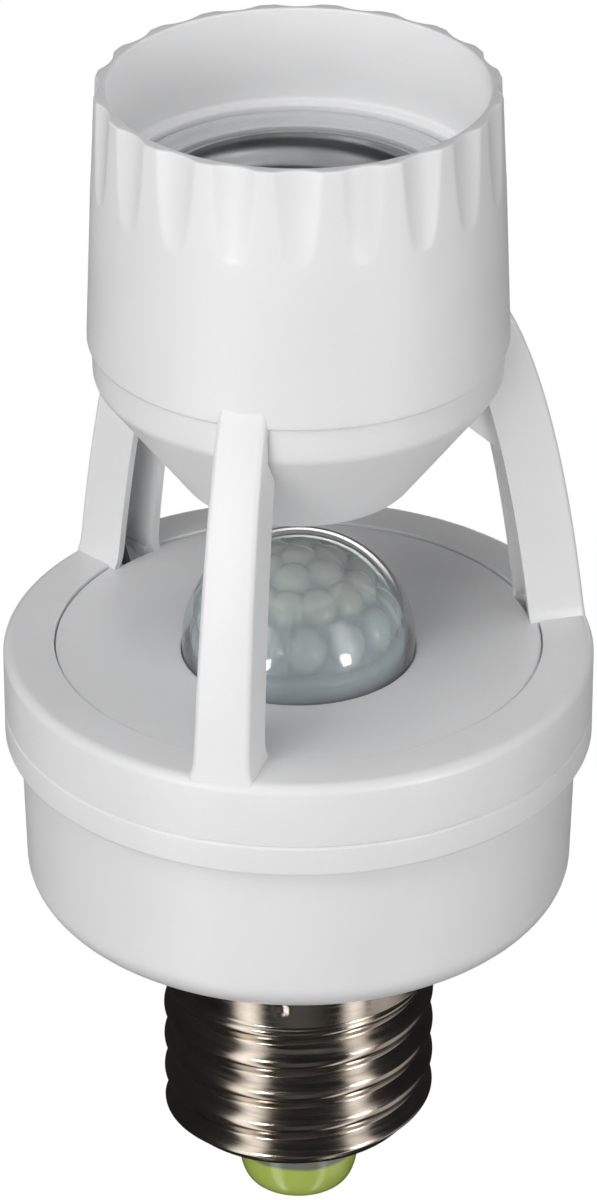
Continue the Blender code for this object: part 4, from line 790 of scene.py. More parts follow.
    def insulator(self) -> bpy.types.Object:
        """Build the glass: a rounded foot, a neck through the lip and a flange inside the shell."""
        profile = outline([(self.glass_bore, self.glass_foot, 0.1),
                           (self.glass_radius, self.glass_foot, 1.3, 4.0),
                           (self.glass_radius, self.flange_bottom, 0.1),
                           (self.flange_radius, self.flange_bottom, 0.3),
                           (self.flange_radius, self.flange_top, 0.3),
                           (self.glass_bore, self.flange_top, 0.1)], 14)
        return Skin().add(turned(profile, full_turn(96)), wrap_rows=True).build("insulator_glass")

    def tip(self) -> bpy.types.Object:
        """Build the tip: a flattened solder button on a stem."""
        profile = outline([(0.0, 0.0), (self.button_radius, 0.0, 1.3, 0.4),
                           (self.button_radius, self.button_top, 0.12),
                           (self.stem_radius, self.button_top, 0.1),
                           (self.stem_radius, self.stem_top, 0.2), (0.0, self.stem_top)], 10, False)
        return Skin().add(turned(profile, full_turn(72))).build("tip_button")

    def build(self) -> None:
        """Build and dress the whole cap."""
        dress(self.shell(), Finish.NICKEL, HOUSING_BODY, "screw_shell")
        dress(self.stake_highlight_plug(), Finish.STAKE_HIGHLIGHT, HOUSING_BODY)
        dress(self.insulator(), Finish.GLASS, HOUSING_BODY, "cap_insulator")
        dress(self.tip(), Finish.SOLDER, HOUSING_BODY, "tip_contact")


@dataclass
class LowerHousing:
    """The white cup under the ring, with the neck that carries the screw cap."""

    neck_bore: float = 9.5
    neck_radius: float = 11.2
    neck_foot: float = 23.8
    recess_radius: float = 13.4
    recess_top: float = 34.7
    floor: float = 34.2
    low_radius: float = 25.85
    top_radius: float = 26.33
    ring_height: float = 52.1
    spigot_top: float = 58.0
    wall: float = 1.8
    fillet_across: float = 7.5
    fillet_up: float = 4.7
    screw_ring: float = 19.6
    screw_angles: tuple[float, float] = (75.0, 255.0)
    boss_foot: float = 35.1
    boss_top: float = 39.5
    columns: int = 192

    def cup(self) -> Skin:
        """Return the cup as a spun outline, its lower edge a quarter of an ellipse."""
        inner = self.low_radius - self.wall
        across, up = self.fillet_across - self.wall, self.fillet_up - self.wall
        profile = outline([(self.neck_bore, self.neck_foot, 0.3), (self.neck_radius, self.neck_foot, 0.3),
                           (self.neck_radius, self.recess_top, 0.05),
                           (self.recess_radius, self.recess_top, 0.05),
                           (self.recess_radius, self.floor, 0.25),
                           (self.low_radius, self.floor, self.fillet_across, self.fillet_up),
                           (self.top_radius, self.ring_height, 0.1), (self.top_radius, self.spigot_top, 0.3),
                           (self.top_radius - self.wall, self.spigot_top, 0.3),
                           (inner, self.floor + self.wall, up, across),
                           (self.neck_bore, self.floor + self.wall, 0.3)], 16)
        return Skin().add(turned(profile, full_turn(self.columns)), wrap_rows=True)

    def build(self) -> None:
        """Build and dress the cup with its two screw bosses."""
        skin = self.cup()
        for degrees in self.screw_angles:
            add_boss(skin, math.radians(degrees), self.screw_ring, self.boss_foot, self.boss_top)
        dress(skin.build("housing_cup"), Finish.WHITE, HOUSING_BODY, "lower_housing")


BOSS_RADIUS = 1.9
BOSS_BORE = 1.2


def add_boss(skin: Skin, angle: float, reach: float, bottom: float, top: float) -> None:
    """Add a screw boss, a short tube that stands at a place on a ring.

    Args:
        skin: The skin that takes it.
        angle: Direction of the place, in radians.
        reach: Distance of the place from the axis, in millimetres.
        bottom: Lower end, in millimetres.
        top: Upper end, in millimetres.
    """
    profile = outline([(BOSS_BORE, bottom), (BOSS_RADIUS, bottom), (BOSS_RADIUS, top, 0.15),
                       (BOSS_BORE, top, 0.1)], 4)
    place = np.array([reach * math.cos(angle), reach * math.sin(angle), 0.0]) * MM
    skin.add(turned(profile, full_turn(32)) + place, wrap_rows=True)


@dataclass
class UpperFrame:
    """The ring, the three channelled arms and the fluted skirt, moulded as one piece."""

    ring_radius: float = 27.8
    ring_bore: float = 26.63
    ring_bottom: float = 52.1
    ring_top: float = 61.5
    groove_height: float = 55.1
    groove: float = 0.25
    groove_half: float = 0.18
    rebate_radius: float = 23.0
    seat_radius: float = 21.8
    seat_top: float = 60.0
    seat_bottom: float = 58.8
    window_radius: float = 26.5
    window_angle: float = 4.4
    window_foot: float = 60.2
    foot_width: float = 5.4
    head_width: float = 4.5
    arm_depth: float = 5.5
    arm_skin: float = 1.4
    arm_cheek: float = 0.8
    arm_edge: float = 0.5
    arm_lip: float = 0.25
    floor_share: float = 0.6
    least_wall: float = 0.05
    ring_inset: float = 0.06
    back_lap: float = 0.3
    arm_start: float = 59.4
    arm_end: float = 97.0
    arm_blend: float = 0.16
    arm_sink: float = 0.35
    sink_start: float = 94.5
    sink_rise: float = 2.5
    root_flare: float = 0.35
    root_fade: float = 0.55
    back_radius: float = 19.2
    back_in_skirt: float = 18.65
    cone_gap: float = 0.3
    channel_top: float = 89.9
    skirt_bottom: float = 93.3
    skirt_top: float = 118.2
    wide_height: float = 94.0
    wide_radius: float = 19.4
    mouth_radius: float = 18.45
    flutes: int = 20
    flute_depth: float = 0.55
    flute_length: float = 9.0
    flute_share: float = 0.72
    rim_round: float = 0.25
    rim_in: float = 0.22
    rim_bore: float = 17.55
    bore: float = 17.3
    step_bore: float = 16.3
    step_top: float = 109.0
    step_bottom: float = 107.5
    foot_bore: float = 17.9
    foot_bore_top: float = 96.3

    def ring(self) -> bpy.types.Object:
        """Build the ring as a spun outline whose inner edge is pushed back to the wall behind each arm."""
        profile = outline([(self.ring_bore, self.ring_bottom, 0.1), (self.ring_radius, self.ring_bottom, 0.3),
                           (self.ring_radius, self.groove_height - self.groove_half, 0.06),
                           (self.ring_radius - self.groove, self.groove_height, 0.05),
                           (self.ring_radius, self.groove_height + self.groove_half, 0.06),
                           (self.ring_radius, self.ring_top, 1.0), (self.rebate_radius, self.ring_top, 0.15),
                           (self.rebate_radius, self.seat_top, 0.1), (self.seat_radius, self.seat_top, 0.15),
                           (self.seat_radius, self.seat_bottom, 0.15),
                           (self.ring_bore, self.seat_bottom, 0.3)], 9)
        angles, behind = ARM_LINE.windows(self.window_angle, 64, 7)
        grid = turned(profile, angles)
        radius = np.broadcast_to(profile[:, :1], grid.shape[:2])
        wall = np.maximum(radius, self.window_radius * MM)
        pushed = np.where(behind & (profile[:, 1:] > self.window_foot * MM), wall, radius)
        grid[..., :2] *= (pushed / radius)[..., None]
        return Skin().add(grid, wrap_rows=True).build("frame_ring")

    def skirt_radius(self, height: Array) -> Array:
        """Return the skirt's radius at heights: level near its foot, then a straight taper to the mouth."""
        share = np.clip((height - self.wide_height) / (self.skirt_top - self.wide_height), 0.0, 1.0)
        return self.wide_radius + (self.mouth_radius - self.wide_radius) * share

    def cone_radius(self, height: Array) -> Array:
        """Return the radius of the cone that the arms' cheeks have to clear, at heights."""
        return np.interp(height, (79.2, SocketCone.shoulder_height, SocketCone.band_bottom, 93.0),
                         (SocketCone.foot_radius, SocketCone.shoulder_radius, SocketCone.band_radius, 19.0))

    def arm_walls(self, angle: float) -> tuple[Array, Array]:
        """Return the outer and the inner face of one arm, a trough that opens towards the axis.

        A level section is a U of four rounded corners: half the width sideways, and outwards from the inner
        radius to the outer one. The outer radius follows the arms' ellipse and settles on the skirt as
        skirt + s ln(1 + e^((ellipse - skirt) / s)). Above the channel the inner face closes up to a flat
        back.

        Args:
            angle: Direction of the arm, in radians.

        Returns:
            Two grids of points, shaped (heights, points, 3).
        """
        height = np.concatenate([np.linspace(self.arm_start, self.ring_top + 1.2, 12),
                                 np.linspace(self.ring_top + 1.6, self.channel_top, 44),
                                 np.linspace(self.channel_top + 0.001, self.arm_end, 26)])[:, None]
        skirt = np.where(height > self.channel_top, self.skirt_radius(height), 0.0)
        rise = (ARM_LINE.outer(height) - skirt) / self.arm_blend
        outer = skirt + self.arm_blend * np.logaddexp(0.0, rise)
        outer = outer - self.arm_sink * smooth_step((height - self.sink_start) / self.sink_rise)
        outer = np.minimum(outer, self.ring_radius - self.ring_inset)
        inner = np.maximum(outer - self.arm_depth, self.cone_radius(height) + self.cone_gap)
        inner = np.where(height > self.channel_top, self.back_radius, inner)
        inner = np.where(height > self.skirt_bottom - self.back_lap, self.back_in_skirt, inner)
        inner = np.minimum(inner, outer - self.least_wall)
        share = (height - ARM_LINE.foot_height) / (ARM_LINE.head_height - ARM_LINE.foot_height)
        half = (self.foot_width + (self.head_width - self.foot_width) * np.clip(share, 0.0, 1.0)) / 2.0
        half = half + self.root_flare * np.exp(-np.maximum(height - self.ring_top, 0.0) / self.root_fade)
        cheek = np.where(height > self.channel_top, 0.0, self.arm_cheek)
        floor = np.where(height > self.channel_top, inner, np.maximum(outer - self.arm_skin, inner))
        ends = np.array([self.arm_lip, self.arm_edge, self.arm_edge, self.arm_lip])[:, None] * np.ones(2)
        sides = np.array([-1.0, -1.0, 1.0, 1.0])

        def face(deep: Array, width: Array, fillets: Array) -> Array:
            """Return one face's rounded U, bent so that its floor lies on a circle round the axis."""
            along = np.concatenate([inner, deep, deep, inner], axis=1)
            corners = np.stack([along, width * sides], axis=-1)
            curve = rounded(corners, fillets, 7, False)
            across = curve[..., 1]
            return laid_out(angle, curve[..., 0] - across ** 2 / (2.0 * outer), across, height) * MM

        return face(outer, half, ends), face(floor, half - cheek, self.floor_share * ends)

    def arms(self) -> bpy.types.Object:
        """Build the three arms."""
        skin = Skin()
        for degrees in ARM_LINE.angles:
            skin.add_walls(*self.arm_walls(math.radians(degrees)))
        return skin.build("frame_arms")

    def hollow(self, angle: Array, height: Array) -> Array:
        """Return how deep the scoops are: depth (sqrt(1 - d / length) - (u / share)^2), d down, u across."""
        reach = np.sqrt(np.maximum(1.0 - (self.skirt_top - height) / self.flute_length, 0.0))
        place = np.mod((angle + math.pi / 2) * self.flutes / (2.0 * math.pi) + 0.5, 1.0) * 2.0 - 1.0
        return self.flute_depth * np.maximum(reach - (place / self.flute_share) ** 2, 0.0)

    def skirt(self) -> bpy.types.Object:
        """Build the skirt: an outer face scooped by the flutes, a scalloped rim and the stepped bore."""
        angle = full_turn(self.flutes * 24)[None, :]
        plain = np.linspace(self.wide_height, self.skirt_top - self.flute_length - 0.2, 8)
        scooped = np.linspace(self.skirt_top - self.flute_length, self.skirt_top - self.rim_round, 34)
        height = np.concatenate([plain, scooped])[:, None]
        radius = self.skirt_radius(height) - self.hollow(angle, height)
        foot = outline([(self.foot_bore, self.skirt_bottom), (self.wide_radius, self.skirt_bottom, 0.3),
                        (self.wide_radius, self.wide_height)], 6, False)[6:12]
        turn = np.linspace(0.0, math.pi / 2, 5)[1:, None]
        rim = radius[-1:] - self.rim_in * (1.0 - np.cos(turn))
        rim_height = self.skirt_top - self.rim_round * (1.0 - np.sin(turn))
        bore = outline([(self.rim_bore, self.skirt_top), (self.bore, self.skirt_top, 0.2),
                        (self.bore, self.step_top, 0.35), (self.step_bore, self.step_top, 0.25),
                        (self.step_bore, self.step_bottom, 0.2), (self.bore, self.step_bottom, 0.2),
                        (self.foot_bore, self.foot_bore_top, 0.2), (self.foot_bore, self.skirt_bottom, 0.15),
                        (self.foot_bore + 0.5, self.skirt_bottom)], 6, False)
        grid = np.concatenate([
            turned(foot, angle[0]),
            round_axis(radius, height, angle) * MM,
            round_axis(rim, rim_height, angle) * MM,
            turned(bore, angle[0])])
        return Skin().add(grid, wrap_rows=True).build("frame_skirt")

    def build(self) -> None:
        """Build and dress the ring, the arms and the skirt."""
        dress(self.ring(), Finish.WHITE, HOUSING_BODY, "upper_frame")
        dress(self.arms(), Finish.WHITE, HOUSING_BODY, "upper_frame")
        dress(self.skirt(), Finish.WHITE, HOUSING_BODY, "upper_frame")


@dataclass
class SocketCone:
    """The funnel under the socket, with the webs that plug into the arms."""

    foot_radius: float = 10.5
    foot_height: float = 78.8
    shoulder_radius: float = 17.6
    shoulder_height: float = 88.2
    band_radius: float = 18.9
    band_bottom: float = 89.9
    band_top: float = 93.22
    band_draft: float = 0.1
    web_half: float = 1.15
    web_foot: float = 79.3
    web_root: float = 84.5
    web_root_radius: float = 13.5
    web_sink: float = 0.85
    least_width: float = 0.05
    slot_top: float = 87.2
    slot_room: float = 4.2
    channel_room: float = 1.7
    spigot_radius: float = 17.6
    spigot_bore: float = 16.0
    spigot_top: float = 96.0
    seat_height: float = 87.7
    seat_radius: float = 14.55
    inner_foot_radius: float = 9.0
    inner_foot_height: float = 80.5

    def funnel(self) -> Skin:
        """Return the funnel as a spun outline with a flat foot, a rounded shoulder and a plain band."""
        profile = outline([(0.0, self.foot_height), (self.foot_radius, self.foot_height, 0.6),
                           (self.shoulder_radius, self.shoulder_height, 1.6),
                           (self.band_radius, self.band_bottom, 0.5),
                           (self.band_radius + self.band_draft, self.band_top, 0.15),
                           (self.spigot_radius, self.band_top, 0.1),
                           (self.spigot_radius, self.spigot_top, 0.2),
                           (self.spigot_bore, self.spigot_top, 0.2),
                           (self.spigot_bore, self.seat_height, 0.1),
                           (self.seat_radius, self.seat_height, 0.3),
                           (self.inner_foot_radius, self.inner_foot_height, 0.8),
                           (0.0, self.inner_foot_height)], 9, False)
        return Skin().add(turned(profile, full_turn(160)))

    def web(self, angle: float) -> tuple[Array, Array]:
        """Return the two faces of one web: from the cone's face out to the arm's channel at each height.

        Args:
            angle: Direction of the web, in radians.

        Returns:
            Two grids of points, shaped (heights, points, 3).
        """
        height = np.concatenate([np.linspace(self.web_foot, self.slot_top, 20),
                                 np.linspace(self.slot_top + 0.01, self.band_bottom - 0.3, 8)])[:, None]
        cone = np.interp(height, (self.foot_height + 0.4, self.shoulder_height, self.band_bottom),
                         (self.foot_radius, self.shoulder_radius, self.band_radius)) - self.web_sink
        foot = float(ARM_LINE.outer(np.array(self.web_foot))) - UpperFrame.arm_depth
        diagonal = np.interp(height, (self.web_foot, self.web_root), (foot, self.web_root_radius))
        near = np.where(height < self.web_root, np.maximum(diagonal, cone), cone)
        room = np.where(height > self.slot_top, self.channel_room, self.slot_room)
        far = np.maximum(ARM_LINE.outer(height) - room, near + self.least_width)
        share = np.linspace(0.0, 1.0, 9)
        along = near + (far - near) * share
        return (laid_out(angle, along, np.full_like(along, -self.web_half), height) * MM,
                laid_out(angle, along, np.full_like(along, self.web_half), height) * MM)

    def build(self) -> None:
        """Build and dress the cone with its three webs."""
        skin = self.funnel()
        for degrees in ARM_LINE.angles:
            skin.add_walls(*self.web(math.radians(degrees)))
        dress(skin.build("cone_funnel"), Finish.WHITE, HOUSING_BODY, "socket_cone")


@dataclass
class SensorHead:
    """The dished plate, the clear dome and the milky lens array under it."""

    hole_radius: float = 11.06
    plate_radius: float = 22.88
    notch_radius: float = 22.1
    notch_angle: float = 7.5
    hollow_radius: float = 13.4
    hollow_bottom: float = 59.2
    hollow_top: float = 60.5
    rise_radius: float = 21.3
    rim_bottom: float = 60.3
    rim_top: float = 61.3
    boss_foot: float = 54.5
    boss_top: float = 60.6
    flange_radius: float = 12.8
    flange_bottom: float = 58.2
    flange_top: float = 58.9
    dome_radius: float = 11.0
    dome_foot: float = 61.4
    dome_top: float = 71.8
    wall: float = 0.7
    array_gap: float = 0.1
    array_wall: float = 0.9
    bulge: float = 1.15
    cell_angle: float = 14.0
    sunk_depth: float = 0.9
    ring_counts: tuple[int, ...] = (1, 6, 13, 13)
    ring_angles: tuple[float, ...] = (0.0, 20.0, 41.0, 64.5)
    ring_turns: tuple[float, ...] = (0.0, -100.0, -99.0, -85.1)
    stretch_from: float = 52.5
    stretch: float = 0.2
    band_from: float = 82.5
    band_blend: float = 6.0
    band_swell: float = 0.8
    array_foot: float = 59.0

    def plate(self) -> bpy.types.Object:
        """Build the plate as a spun outline whose rim is pulled in behind each arm, with two screw bosses."""
        profile = outline([(self.hole_radius, self.hollow_bottom, 0.1),
                           (self.hollow_radius, self.hollow_bottom, 0.8),
                           (self.rise_radius, self.rim_bottom, 0.5),
                           (self.plate_radius, self.rim_bottom, 0.1),
                           (self.plate_radius, self.rim_top, 0.25), (self.rise_radius, self.rim_top, 1.2),
                           (self.hollow_radius, self.hollow_top, 1.5),
                           (self.hole_radius, self.hollow_top, 0.2)], 9)
        angles, behind = ARM_LINE.windows(self.notch_angle, 60, 9)
        grid = turned(profile, angles)
        radius = np.broadcast_to(profile[:, :1], grid.shape[:2])
        pulled = np.where(behind, np.minimum(radius, self.notch_radius * MM), radius)
        grid[..., :2] *= (pulled / radius)[..., None]
        skin = Skin().add(grid, wrap_rows=True)
        for degrees in LowerHousing.screw_angles:
            add_boss(skin, math.radians(degrees), LowerHousing.screw_ring, self.boss_foot, self.boss_top)
        return skin.build("plate_dish")

    def shell(self) -> bpy.types.Object:
        """Build the clear shell: two quarter ellipses spun round the axis, joined by a band and a flange."""
        inside, inner_top = self.dome_radius - self.wall, self.dome_top - self.wall
        foot = self.dome_foot
        profile = outline([(0.0, inner_top), (inside, inner_top, inside, inner_top - foot),
                           (inside, self.flange_bottom), (self.flange_radius, self.flange_bottom, 0.1),
                           (self.flange_radius, self.flange_top, 0.1),
                           (self.dome_radius, self.flange_top, 0.15),
                           (self.dome_radius, self.dome_top, self.dome_top - foot, self.dome_radius),
                           (0.0, self.dome_top)], 40, False)
        return Skin().add(turned(profile, full_turn(160))).build("lens_shell")

    def cell_centres(self) -> Array:
        """Return unit vectors to the middles of the lens cells, in rings about the axis."""
        counts = np.array(self.ring_counts)
        polar = np.radians(np.repeat(self.ring_angles, counts))
        first = np.repeat(np.cumsum(counts) - counts, counts)
        place = (np.arange(counts.sum()) - first) / np.repeat(counts, counts)
        around = 2.0 * math.pi * place + np.radians(np.repeat(self.ring_turns, counts))
        return self.ways(polar, around)

    def ways(self, polar: Array, around: Array) -> Array:
        """Return unit vectors at angles from the axis and round it, in radians."""
        return round_axis(np.sin(polar), np.cos(polar), around)

    def sink(self, polar: Array, around: Array) -> Array:
        """Return how far the array lies below its plain dome, in millimetres.

        With d the angle from a point to the nearest cell's middle and c the cell angle, it sinks by
        bulge (d / c)^2 towards the cell's borders, and by the sunk depth at the most. Below the stretch angle
        d is taken on a squeezed dome, which makes the lowest cells taller than wide. The band below them
        swells out again.

        Args:
            polar: Angles from the axis, in radians.
            around: Angles round the axis, in radians.

        Returns:
            The depths, shaped as the two angles together.
        """
        squeezed = polar - self.stretch * np.maximum(polar - math.radians(self.stretch_from), 0.0)
        cosine = np.max(self.ways(squeezed, around) @ self.cell_centres().T, axis=-1)
        nearest = np.arccos(np.clip(cosine, -1.0, 1.0))
        depth = np.minimum(self.bulge * (nearest / math.radians(self.cell_angle)) ** 2, self.sunk_depth)
        swell = self.band_swell * smooth_step((np.degrees(polar) - self.band_from) / self.band_blend)
        return depth * (1.0 - swell)

    def array(self) -> bpy.types.Object:
        """Build the lens array: a dome with sunk cell borders over a smooth inner dome.

        Its point attribute holds the depth over the sunk depth at each point, which paints shade into the
        sunk borders.
        """
        polar = np.linspace(0.0, math.pi / 2, 120)[:, None]
        around = full_turn(320)[None, :]
        way = self.ways(polar, around)
        sink = self.sink(polar, around)
        reach = self.dome_radius - self.wall - self.array_gap
        rise = self.dome_top - self.wall - self.array_gap - self.dome_foot
        base = np.array([0.0, 0.0, self.dome_foot])
        outer = way * (np.array([reach, reach, rise]) - sink[..., None]) + base
        inner = way * (np.array([reach, reach, rise]) - self.sunk_depth - self.array_wall) + base
        level, foot = np.array([1.0, 1.0, 0.0]), np.array([0.0, 0.0, self.array_foot])
        grid = np.concatenate([outer, outer[-1:] * level + foot, inner[-1:] * level + foot, inner[::-1]]) * MM
        made = Skin().add(grid).build("lens_array")
        x, y, z = (points_of(made) / MM - base).T
        at_polar = np.clip(np.arctan2(np.hypot(x, y) / reach, z / rise), 0.0, math.pi / 2)
        mark_points(made, "sunk_shade_depth", self.sink(at_polar, np.arctan2(y, x)) / self.sunk_depth)
        return made

    def build(self) -> None:
        """Build and dress the plate, the shell and the array."""
        dress(self.plate(), Finish.WHITE, HOUSING_BODY, "sensor_plate")
        dress(self.shell(), Finish.CLEAR, HOUSING_BODY, "dome_lens")
        dress(self.array(), Finish.LENS, HOUSING_BODY, "dome_lens")


@dataclass
class LampSocket:
    """The insulating cup, the threaded shell and the sprung contact inside the skirt."""

    cup_radius: float = 15.4
    cup_bottom: float = 88.0
    cup_bore: float = 14.0
    cup_floor: float = 89.6
    lip_radius: float = 16.0
    lip_bottom: float = 107.0
    lip_top: float = 108.5
    step_radius: float = 15.0
    step_height: float = 107.9
    step_draft: float = 0.3
    crest_radius: float = 12.2
    thread_depth: float = 0.95
    thread_power: float = 0.8
    sheet: float = 0.4
    flange_bore: float = 10.2
    bottom: float = 89.9
    flange_rise: float = 1.0
    top: float = 107.6
    flare_height: float = 1.1
    thread_bottom: float = 94.5
    thread_fade: float = 1.2
    pitch: float = 3.629
    strip_root: float = 9.2
    strip_tip: float = -3.2
    strip_height: float = 90.0
    strip_half: float = 2.2
    strip_sheet: float = 0.4
    climb_start: float = 5.9
    climb_length: float = 4.2
    climb: float = 2.6
    curl_start: float = -1.7
    curl: float = 1.3
    end_round: float = 1.2
    end_taper: float = 0.6

    def cup(self) -> bpy.types.Object:
        """Build the cup as a spun outline with a flange and a step at its mouth."""
        profile = outline([(0.0, self.cup_bottom), (self.cup_radius, self.cup_bottom, 0.4),
                           (self.cup_radius, self.lip_bottom, 0.1), (self.lip_radius, self.lip_bottom, 0.15),
                           (self.lip_radius, self.lip_top, 0.25), (self.step_radius, self.lip_top, 0.2),
                           (self.step_radius - self.step_draft, self.step_height, 0.1),
                           (self.cup_bore, self.step_height, 0.2), (self.cup_bore, self.cup_floor, 0.3),
                           (0.0, self.cup_floor)], 7, False)
        return Skin().add(turned(profile, full_turn(144))).build("insert_cup")

    def shell(self) -> bpy.types.Object:
        """Build the threaded shell.

        Its inner face goes from the foot flange up a plain wall, swings with the helix as
        r = crest + depth (1/2 + 1/2 cos(2 pi z / pitch - a))^p, and flares at the top edge. The outer face
        lies one sheet's thickness further out.
        """
        angle = full_turn(160)[None, :]
        plain = self.bottom + self.flange_rise
        height = np.linspace(plain, self.top, 110)[:, None]
        wave = 0.5 + 0.5 * np.cos(2.0 * math.pi * (height - self.thread_bottom) / self.pitch - angle)
        swell = smooth_step((height - self.thread_bottom) / self.thread_fade)
        wide = self.crest_radius + self.thread_depth
        radius = wide - self.thread_depth * (1.0 - wave ** self.thread_power) * swell
        flare = smooth_step((height - self.top + self.flare_height) / self.flare_height)
        radius = radius + (wide - radius) * flare
        flange = outline([(self.flange_bore, self.bottom + self.sheet), (wide, self.bottom + self.sheet, 0.6),
                          (wide, plain)], 6, False)
        under = outline([(wide + self.sheet, plain), (wide + self.sheet, self.bottom, 0.9),
                         (self.flange_bore, self.bottom)], 6, False)
        inner = round_axis(radius, height, angle) * MM
        outer = round_axis(radius + self.sheet, height, angle) * MM
        grid = np.concatenate([turned(flange, angle[0]), inner, outer[::-1], turned(under, angle[0])])
        return Skin().add(grid, wrap_rows=True).build("socket_thread", Crease.SHEET)

    def contact(self) -> bpy.types.Object:
        """Build the sprung strip: level at its root, up in an S to the pad, and curled down past the axis."""
        x = np.linspace(self.strip_root, self.strip_tip, 64)[:, None]
        climb = self.climb * smooth_step((self.climb_start - x) / self.climb_length)
        curl = self.curl * np.clip((self.curl_start - x) / (self.curl_start - self.strip_tip), 0.0, 1.0) ** 2
        across = np.linspace(-1.0, 1.0, 13)[None, :]
        end = 1.0 - np.clip((x - self.strip_tip) / self.end_round, 0.0, 1.0)
        start = 1.0 - np.clip((self.strip_root - x) / self.end_round, 0.0, 1.0)
        half = self.strip_half * np.sqrt(1.0 - self.end_taper * end ** 2)
        half = half * np.sqrt(1.0 - self.end_taper * start ** 2)
        low = np.stack(np.broadcast_arrays(x, half * across, self.strip_height + climb - curl), axis=-1)
        high = low + np.array([0.0, 0.0, self.strip_sheet])
        return Skin().add_walls(low * MM, high * MM).build("contact_strip")

    def build(self) -> None:
        """Build and dress the cup, the shell and the sprung contact."""
        dress(self.cup(), Finish.SHADED_CREAM, HOUSING_BODY, "socket_insert")
        dress(self.shell(), Finish.SOCKET, HOUSING_BODY, "socket_shell")
        dress(self.contact(), Finish.BRASS, CONTACT_BODY, "centre_contact")


@dataclass
class Electronics:
    """The CAD nodes inside the housing and the leads, which keep their shapes and get their own finishes."""

    finishes: dict[str, Finish] = field(default_factory=lambda: {
        "control_board": Finish.BOARD, "power_board": Finish.BOARD,
        "control_board_screw_1": Finish.STEEL, "control_board_screw_2": Finish.STEEL,
        "power_board_screw_1": Finish.STEEL, "power_board_screw_2": Finish.STEEL,
        "sensor_can": Finish.STEEL, "sensor_window": Finish.BLACK, "light_sensor": Finish.YELLOW,
        "lens_spacer": Finish.BLACK, "relay": Finish.BLACK, "rectifier": Finish.BLACK,
        "control_chip": Finish.BLACK, "board_header": Finish.BLACK, "film_capacitor": Finish.YELLOW,
        "storage_capacitor": Finish.BLUE, "fuse_resistor": Finish.BLUE,
        "arm_lead_1": Finish.BLACK, "arm_lead_2": Finish.SLEEVE,
        "tip_lead": Finish.BLACK, "shell_lead": Finish.BLUE,
        "contact_rivet": Finish.BRASS, "shell_rivet": Finish.BRASS})

    def build(self) -> None:
        """Give each kept node its finish."""
        for name, finish in self.finishes.items():
            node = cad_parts[name]
            for place in range(len(node.material_slots)):
                node.material_slots[place].material = finish.material()
            LOG.info("%s: kept, %s", name, finish.slot)


@dataclass(frozen=True)
class Card:
    """A glowing card: its place, height and width in degrees, its strength and its distance in metres."""

    azimuth: float
    low: float
    high: float
    width: float
    strength: float
    reach: float


@dataclass(frozen=True)
class Softbox:
    """A soft light: its direction in degrees, its power in watts, its side and its distance in metres."""

    name: str
    azimuth: float
    elevation: float
    power: float
    side: float = 0.45
    reach: float = 0.9


